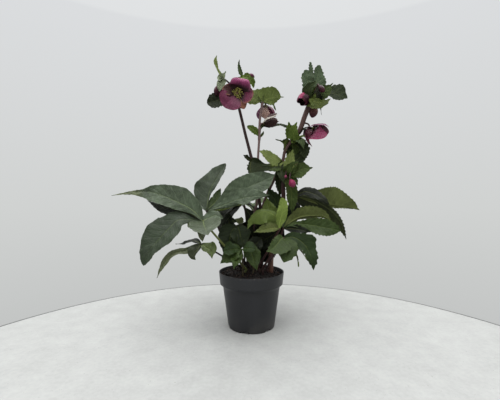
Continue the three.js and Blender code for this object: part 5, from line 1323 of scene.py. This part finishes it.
# one stem: a tube swollen where bracts sit, coloured from its foot to its top, and the
# thinner stalks that leave it for flowers and buds
def makeStem(name, stem):
    s = stemShape
    foot = stem["path"][0][3] + s["collar"]
    line = alongCurve([[*p, foot] for p in rootPoints(stem["root"])] + stem["path"], s["rows"])
    path, girth = line[:, :3], line[:, 3].copy()
    for whorl in whorlTable.values():
        if whorl["stem"] == name:
            girth += s["swell"] * bell(np.linalg.norm(path - vec(whorl["at"]), axis=1), s["reach"])
    low, high = screen(stem["low"]), screen(stem["high"])
    rise = eased(np.linspace(0, 1, s["rows"]), *s["reddens"])[:, None, None]
    piece = Piece(name.replace("stem", "flowerStem"), "stem", [stemSkin], [name])

    def relief(along, around):
        (ribHigh, ribs, wind), (knobHigh, long, across) = s["ribs"], s["knobs"]
        knobs = lumps(along / long, around * across, 4)
        return ribHigh * np.cos(ribs * around + along / wind) + knobHigh * knobs

    body, where = tube(path, girth, s["sides"], relief)
    piece.addRound((body, where), 0, low + (high - low) * rise + np.zeros(body.shape))
    for carried, start, bend, radius in stem["side"]:
        flower = {**bloomTable, **budTable}[carried]
        look = unit(vec(flower["look"]))
        end = vec(flower["at"]) - look * (seatBack(flower) - s["sink"])
        line = alongCurve([start, *bend, end - look * 2 * radius, end], s["sideRows"])
        flare, reach = s["flare"]
        radii = radius * (1 + flare * bell(np.linspace(0, 1, s["sideRows"]), reach))
        piece.addRound(tube(line, radii, s["sideSides"]), 0, high)
    piece.lay()


for name, stem in stemTable.items():
    makeStem(name, stem)


# one whorl: its bracts leave the stem side by side, each clasping it at the foot
def makeWhorl(name, whorl, order):
    piece = Piece(name.replace("bracts", "bractWhorl"), "bract", [bractLeaf], [name])
    at, along = vec(whorl["at"]), unit(vec(whorl["along"]))
    for k, bract in enumerate(whorl["bracts"]):
        start = at + squareTo(heading(bract) - at, along) * whorl["ring"] * stemShape["bractStart"]
        spec = {"roll": measuredRoll if "rib" in bract else bladeBase["roll"], **bract}
        spec["clasp"] = bract.get("clasp", stemShape["claspShare"]) * whorl["ring"]
        upper, under = bractTints[bract.get("tint", "mid")], bractTints[bract.get("under", "olive")]
        addBlade(piece, start, spec, "bract", upper, under, 100 + order * 9 + k)
    piece.lay()


for order, (name, whorl) in enumerate(whorlTable.items()):
    makeWhorl(name, whorl, order)
print("stems and bracts made")


# flowers and buds

# throat: near-black at the foot of the sepals, partly painted shade; light: where it is a rim, a painted
# highlight
sepalTints = paints(
    plum=(76, 28, 50), deep=(44, 18, 26), rose=(118, 52, 76), edge=(104, 62, 72), outside=(88, 40, 58),
    throat=(34, 16, 18), brown=(48, 30, 30), magenta=(78, 23, 46), mauve=(86, 37, 58),
    light=(136, 82, 106), tan=(112, 72, 56), umber=(56, 30, 28), wine=(56, 20, 30), bright=(114, 47, 82),
    lilac=(104, 64, 84), fawn=(122, 98, 86), silver=(122, 116, 106), rust=(92, 60, 56),
    crimson=(112, 28, 62), blush=(97, 34, 60), blushOut=(150, 122, 112))
flowerParts = {
    "stamens": 54, "filament": 0.32, "anther": 0.85, "nectaries": 13, "styles": 4,
    "styleBends": [(0, 0), (0.5, 1.3), (0.85, 1.6), (1, 3)], "sepalStart": 3, "tilt": 0.2,
    "heartRise": 1.7, "heartReach": 0.95, "threadStart": 2.4, "threadBend": (0.55, 0.35),
    "nectaryStart": (3.1, 0.6), "styleRadii": (1.25, 0.4), "antherDraw": (1.15, 1),
    "antherOutline": [(-1.1, 0.35), (-0.5, 0.8), (0.5, 0.8), (1.1, 0.3)],
    "nectaryOutline": [(0, 0.4), (1.2, 0.8), (2.8, 1.15), (3.5, 1.0), (3.0, 0.5)],
    "seatOutline": [(-3.2, 1.6), (-2.6, 2.6), (-1, 3.6), (0.6, 4.2), (1.4, 3.6), (1.8, 1.2)],
    **paints(antherTint=(146, 140, 68), filamentTint=(120, 116, 62), nectaryTint=(104, 112, 50),
             styleTint=(112, 84, 70), seatTint=(96, 88, 60)),
}
fifth = 72                         # degrees from one sepal to the next


# where a flower sits, the way it looks, and the outward direction at an angle round it
def flowerFrame(flower):
    look = unit(vec(flower["look"]))
    level = unit(np.cross(upward, look))
    upright = np.cross(look, level)
    return vec(flower["at"]), look, lambda turn: level * np.cos(turn) + upright * np.sin(turn)


# a sepal's colour: dark at the throat, partly its own colour and partly painted shade deep in the cup, its
# own colour to near the rim, then the rim's, which on some sepals is a painted highlight
def sepalPaint(throat, main, rim, reach):
    def paint(u, v):
        u, v = u[..., None], np.abs(v)[..., None]
        dark = 1 - eased(u, 0.08 + reach, 0.38 + reach)
        edge = np.maximum(eased(v, 0.72, 1.0) * eased(u, 0.3, 0.6), eased(u, 0.86, 1.0))
        return (main * (1 - dark) + throat * dark) * (1 - 0.7 * edge) + rim * 0.7 * edge
    return paint


# five sepals that lap each other round the seat, opened by an angle from where it looks
def makeBloom(name, bloom, order):
    f = flowerParts
    piece = Piece(name.replace("bloom", "sepals"), "sepal", [petal, stemSkin], [name])
    at, look, outwardAt = flowerFrame(bloom)
    spread = np.radians(bloom["open"])
    for k, (long, wide) in enumerate(bloom["sepals"]):
        outward = outwardAt(np.radians(bloom["turn"] + fifth * k))
        change = bloom.get("each", {}).get(k, {})
        spec = {
            "tip": at + long * (look * np.cos(spread) + outward * np.sin(spread)),
            "face": look * np.sin(spread) - outward * np.cos(spread) + f["tilt"] * np.cross(look, outward),
            "wide": wide, "arch": -bloom["bowl"], "folds": (bloom["cup"], bloom["cup"]),
            "roll": measuredRoll if "rib" in change else bloom["roll"], **change,
        }
        names = {"tint": "plum", "under": "outside", "rim": "edge", "underRim": "edge", **bloom, **change}
        main, back, rim, underRim = [sepalTints[names[key]] for key in ("tint", "under", "rim", "underRim")]
        upper = sepalPaint(sepalTints["throat"], main, rim, change.get("dark", 0))
        under = sepalPaint(sepalTints["brown"], back, underRim, -0.1)
        foot = squareTo(heading(change) - at, look) if "rib" in change else outward
        addBlade(piece, at + f["sepalStart"] * foot, spec, "sepal", upper, under, 300 + order * 11 + k)
    piece.addRound(turnedForm(at, look, f["seatOutline"], 18), 1, f["seatTint"])
    piece.lay()


# the heart of a flower: styles in the middle, stamens round them that lean outward, and a
# ring of short funnel nectaries at the foot
def makeStamens(name, bloom):
    f = flowerParts
    name = name.replace("bloom_", "")
    piece = Piece("flowerHeart_" + name, "stamen", [pollen], ["stamens_" + name])
    at, look, outwardAt = flowerFrame(bloom)
    foot = at + look * f["heartRise"]
    spread, full = bloom["spread"], bloom["reach"] * f["heartReach"]
    bendRise, bendOut = f["threadBend"]
    nectaryOut, nectaryBack = f["nectaryStart"]
    thread = sepalTints[bloom["filament"]] if "filament" in bloom else f["filamentTint"]

    golden = np.pi * (3 - 5**0.5)      # the turn that spaces points evenly over a disc
    count = int(f["stamens"] * (0.55 + 0.45 * min(spread / 10, 1)))
    for k in range(count):
        share = np.sqrt((k + 4) / (count + 4))
        outward = outwardAt(k * golden + chance.uniform(-0.2, 0.2))
        height = full * (1.02 - 0.38 * share * (spread > 8) + chance.uniform(-0.08, 0.05))
        wide = spread * share * chance.uniform(0.82, 1.0)
        top = foot + look * height + outward * wide
        middle = foot + look * height * bendRise + outward * wide * bendOut
        line = alongCurve([foot + outward * f["threadStart"] * share, middle, top], 5)
        piece.addRound(tube(line, f["filament"], 5), 0, thread)
        size = f["anther"] * chance.uniform(0.8, 1.15)
        outline = vec(f["antherOutline"]) * size * vec(f["antherDraw"])
        anther = turnedForm(top, outward + look * 0.3, outline, 6)
        piece.addRound(anther, 0, f["antherTint"] * chance.uniform(0.7, 1.2))
    for k in range(f["nectaries"]):
        outward = outwardAt(fullTurn * k / f["nectaries"] + chance.uniform(-0.1, 0.1))
        start = foot + outward * nectaryOut - look * nectaryBack
        funnel = turnedForm(start, look + outward * 0.7, f["nectaryOutline"], 9)
        piece.addRound(funnel, 0, f["nectaryTint"])
    for k in range(f["styles"]):
        outward = outwardAt(fullTurn * (k + 0.3) / f["styles"])
        bends = [foot + look * full * rise + outward * out for rise, out in f["styleBends"]]
        radii = np.linspace(*f["styleRadii"], 9)
        piece.addRound(tube(alongCurve(bends, 9), radii, 8), 0, f["styleTint"])
    piece.lay()


for order, (name, bloom) in enumerate(bloomTable.items()):
    makeBloom(name, bloom, order)
    makeStamens(name, bloom)


# a bud: an egg-shaped outline whose radius steps down once a sepal where one laps the next,
# the laps winding as they rise
def makeBud(name, bud):
    piece = Piece(name.replace("bud", "flowerBud"), "sepal", [petal, stemSkin], [name])
    s = budShape
    rise, radius = alongCurve([(*p, 0) for p in s["outline"]], s["rows"])[:, :2].T
    angle = np.linspace(0, fullTurn, s["sides"], endpoint=False)
    turn = (angle * s["laps"] / fullTurn + s["wind"] * rise[:, None] + bud["turn"] / 60) % 1
    lapped = s["full"] - s["step"] * turn**2 * eased(rise[:, None], 0.0, s["lapFrom"])
    steps = np.stack([rise * bud["long"], radius * bud["wide"] / 2], -1)
    body, where = turnedForm(bud["at"], bud["look"], steps, s["sides"], lapped)
    main, tip = sepalTints[bud.get("tint", "rose")], sepalTints[bud.get("tip", "plum")]
    tint = main + (tip - main) * eased(rise[:, None, None], s["tintFrom"], 1.0) + np.zeros(body.shape)
    piece.addRound((body, where), 0, tint)
    piece.lay(sharp=70)


for name, bud in budTable.items():
    makeBud(name, bud)
print("flowers and buds made")


# the room: a pale round table, a plain pale wall of light, and the camera

room = {
    **paints(table=(149, 150, 148), tableEdge=(84, 85, 84), specks=(84, 80, 72)),
    "tableAhead": -0.307, "eye": (-0.0033, -0.7, 0.29), "lens": 21.6, "sensor": 36,
    "tableRings": [(0.01, 0), (0.3, 0), (0.644, 0), (0.653, -0.001), (0.655, -0.006), (0.655, -0.02),
                   (0.01, -0.02)],
    "heights": [(-1.0, (150, 151, 150)), (1.0, (235, 237, 240)), (-0.25, (198, 200, 199)),
                (-0.02, (208, 210, 209)), (0.2, (217, 219, 219)), (0.5, (219, 221, 223))],
    "lamps": [("overhead", (0.0, -0.1, 1.8), (0, 0, 0), 3.2, 92.0),
              ("front", (-0.9, -1.9, 1.5), (60, 0, -25), 1.6, 8.0)],
}


# the table: a flat disc with a thin rounded rim, its top at nought
def makeTable():
    finish = Finish("paleTable", 0.3)
    cloud, smudge, grain = finish.noise(7, 4), finish.noise(30, 5), finish.noise(150, 3)
    colour = finish.scaled(room["table"], 0.66 + cloud * 0.2 + smudge * 0.26 + grain * 0.22)
    colour = finish.blend(finish.noise(330, 2).over(0.7, 0.74) * 0.5, colour, room["specks"])
    # the rim is painted a darker grey with soft noise in it, so that a thin dark line runs round the table
    edge = Finish("tableEdge", 0.3)
    edgeNoise = edge.noise(40, 4)
    mesh = bpy.data.meshes.new("table")
    mesh.materials.append(finish.wear(colour, 0.55 + cloud * 0.1))
    mesh.materials.append(edge.wear(edge.scaled(room["tableEdge"], 0.7 + edgeNoise * 0.6), 0.5 + edgeNoise * 0.2))
    angle = np.arange(240) * fullTurn / 240
    radius, height = [column[:, None] + 0 * angle for column in vec(room["tableRings"]).T]
    points = np.stack([radius * np.cos(angle), radius * np.sin(angle) + room["tableAhead"], height], -1)
    faces = [face[::-1].tolist() for group in tubeFaces(*height.shape) for face in group]
    mesh.from_pydata(points.reshape(-1, 3).tolist(), [], faces)
    band = np.arange(len(mesh.polygons)) // len(angle)
    mesh.polygons.foreach_set("material_index", ((band > 1) & (band < 5)).astype(np.int32))
    table = placed("table", mesh)
    table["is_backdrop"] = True


makeTable()
world = bpy.data.worlds.new("paleRoom")
bpy.context.scene.world = world
world.use_nodes = True
# the light of the room by how high it comes from: dim below, the wall's shade at eye level,
# brightest overhead
nodes, links = world.node_tree.nodes, world.node_tree.links
where, height, rise, shade = [
    nodes.new("ShaderNode" + kind) for kind in ("TexCoord", "SeparateXYZ", "MapRange", "ValToRGB")]
ramp = shade.color_ramp.elements
for k, (at, colour) in enumerate(room["heights"]):
    stop = ramp[k] if k < 2 else ramp.new(at)
    stop.position, stop.color = (at + 1) / 2, (*screen(colour), 1)
rise.inputs[1].default_value = -1
links.new(where.outputs["Generated"], height.inputs[0])
links.new(height.outputs[2], rise.inputs[0])
links.new(rise.outputs[0], shade.inputs[0])
links.new(shade.outputs[0], nodes["Background"].inputs["Color"])

for name, spot, turn, size, power in room["lamps"]:
    lamp = bpy.data.lights.new(name, "AREA")
    lamp.shape, lamp.size, lamp.energy = "DISK", size, power
    holder = placed(name, lamp)
    holder.location, holder.rotation_euler = spot, np.radians(turn)

lens = bpy.data.cameras.new("camera")
lens.lens, lens.sensor_width = room["lens"], room["sensor"]
camera = placed("camera", lens)
camera.location, camera.rotation_euler = room["eye"], (np.pi / 2, 0, 0)
bpy.context.scene.camera = camera
bpy.context.scene.view_settings.view_transform = "Standard"
print("room and camera set")

bounds = {"cad": cadBox, "scene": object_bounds()}
sizes = {key: [[float(x) for x in corner] for corner in box] for key, box in bounds.items()}
print("sizes", sizes)
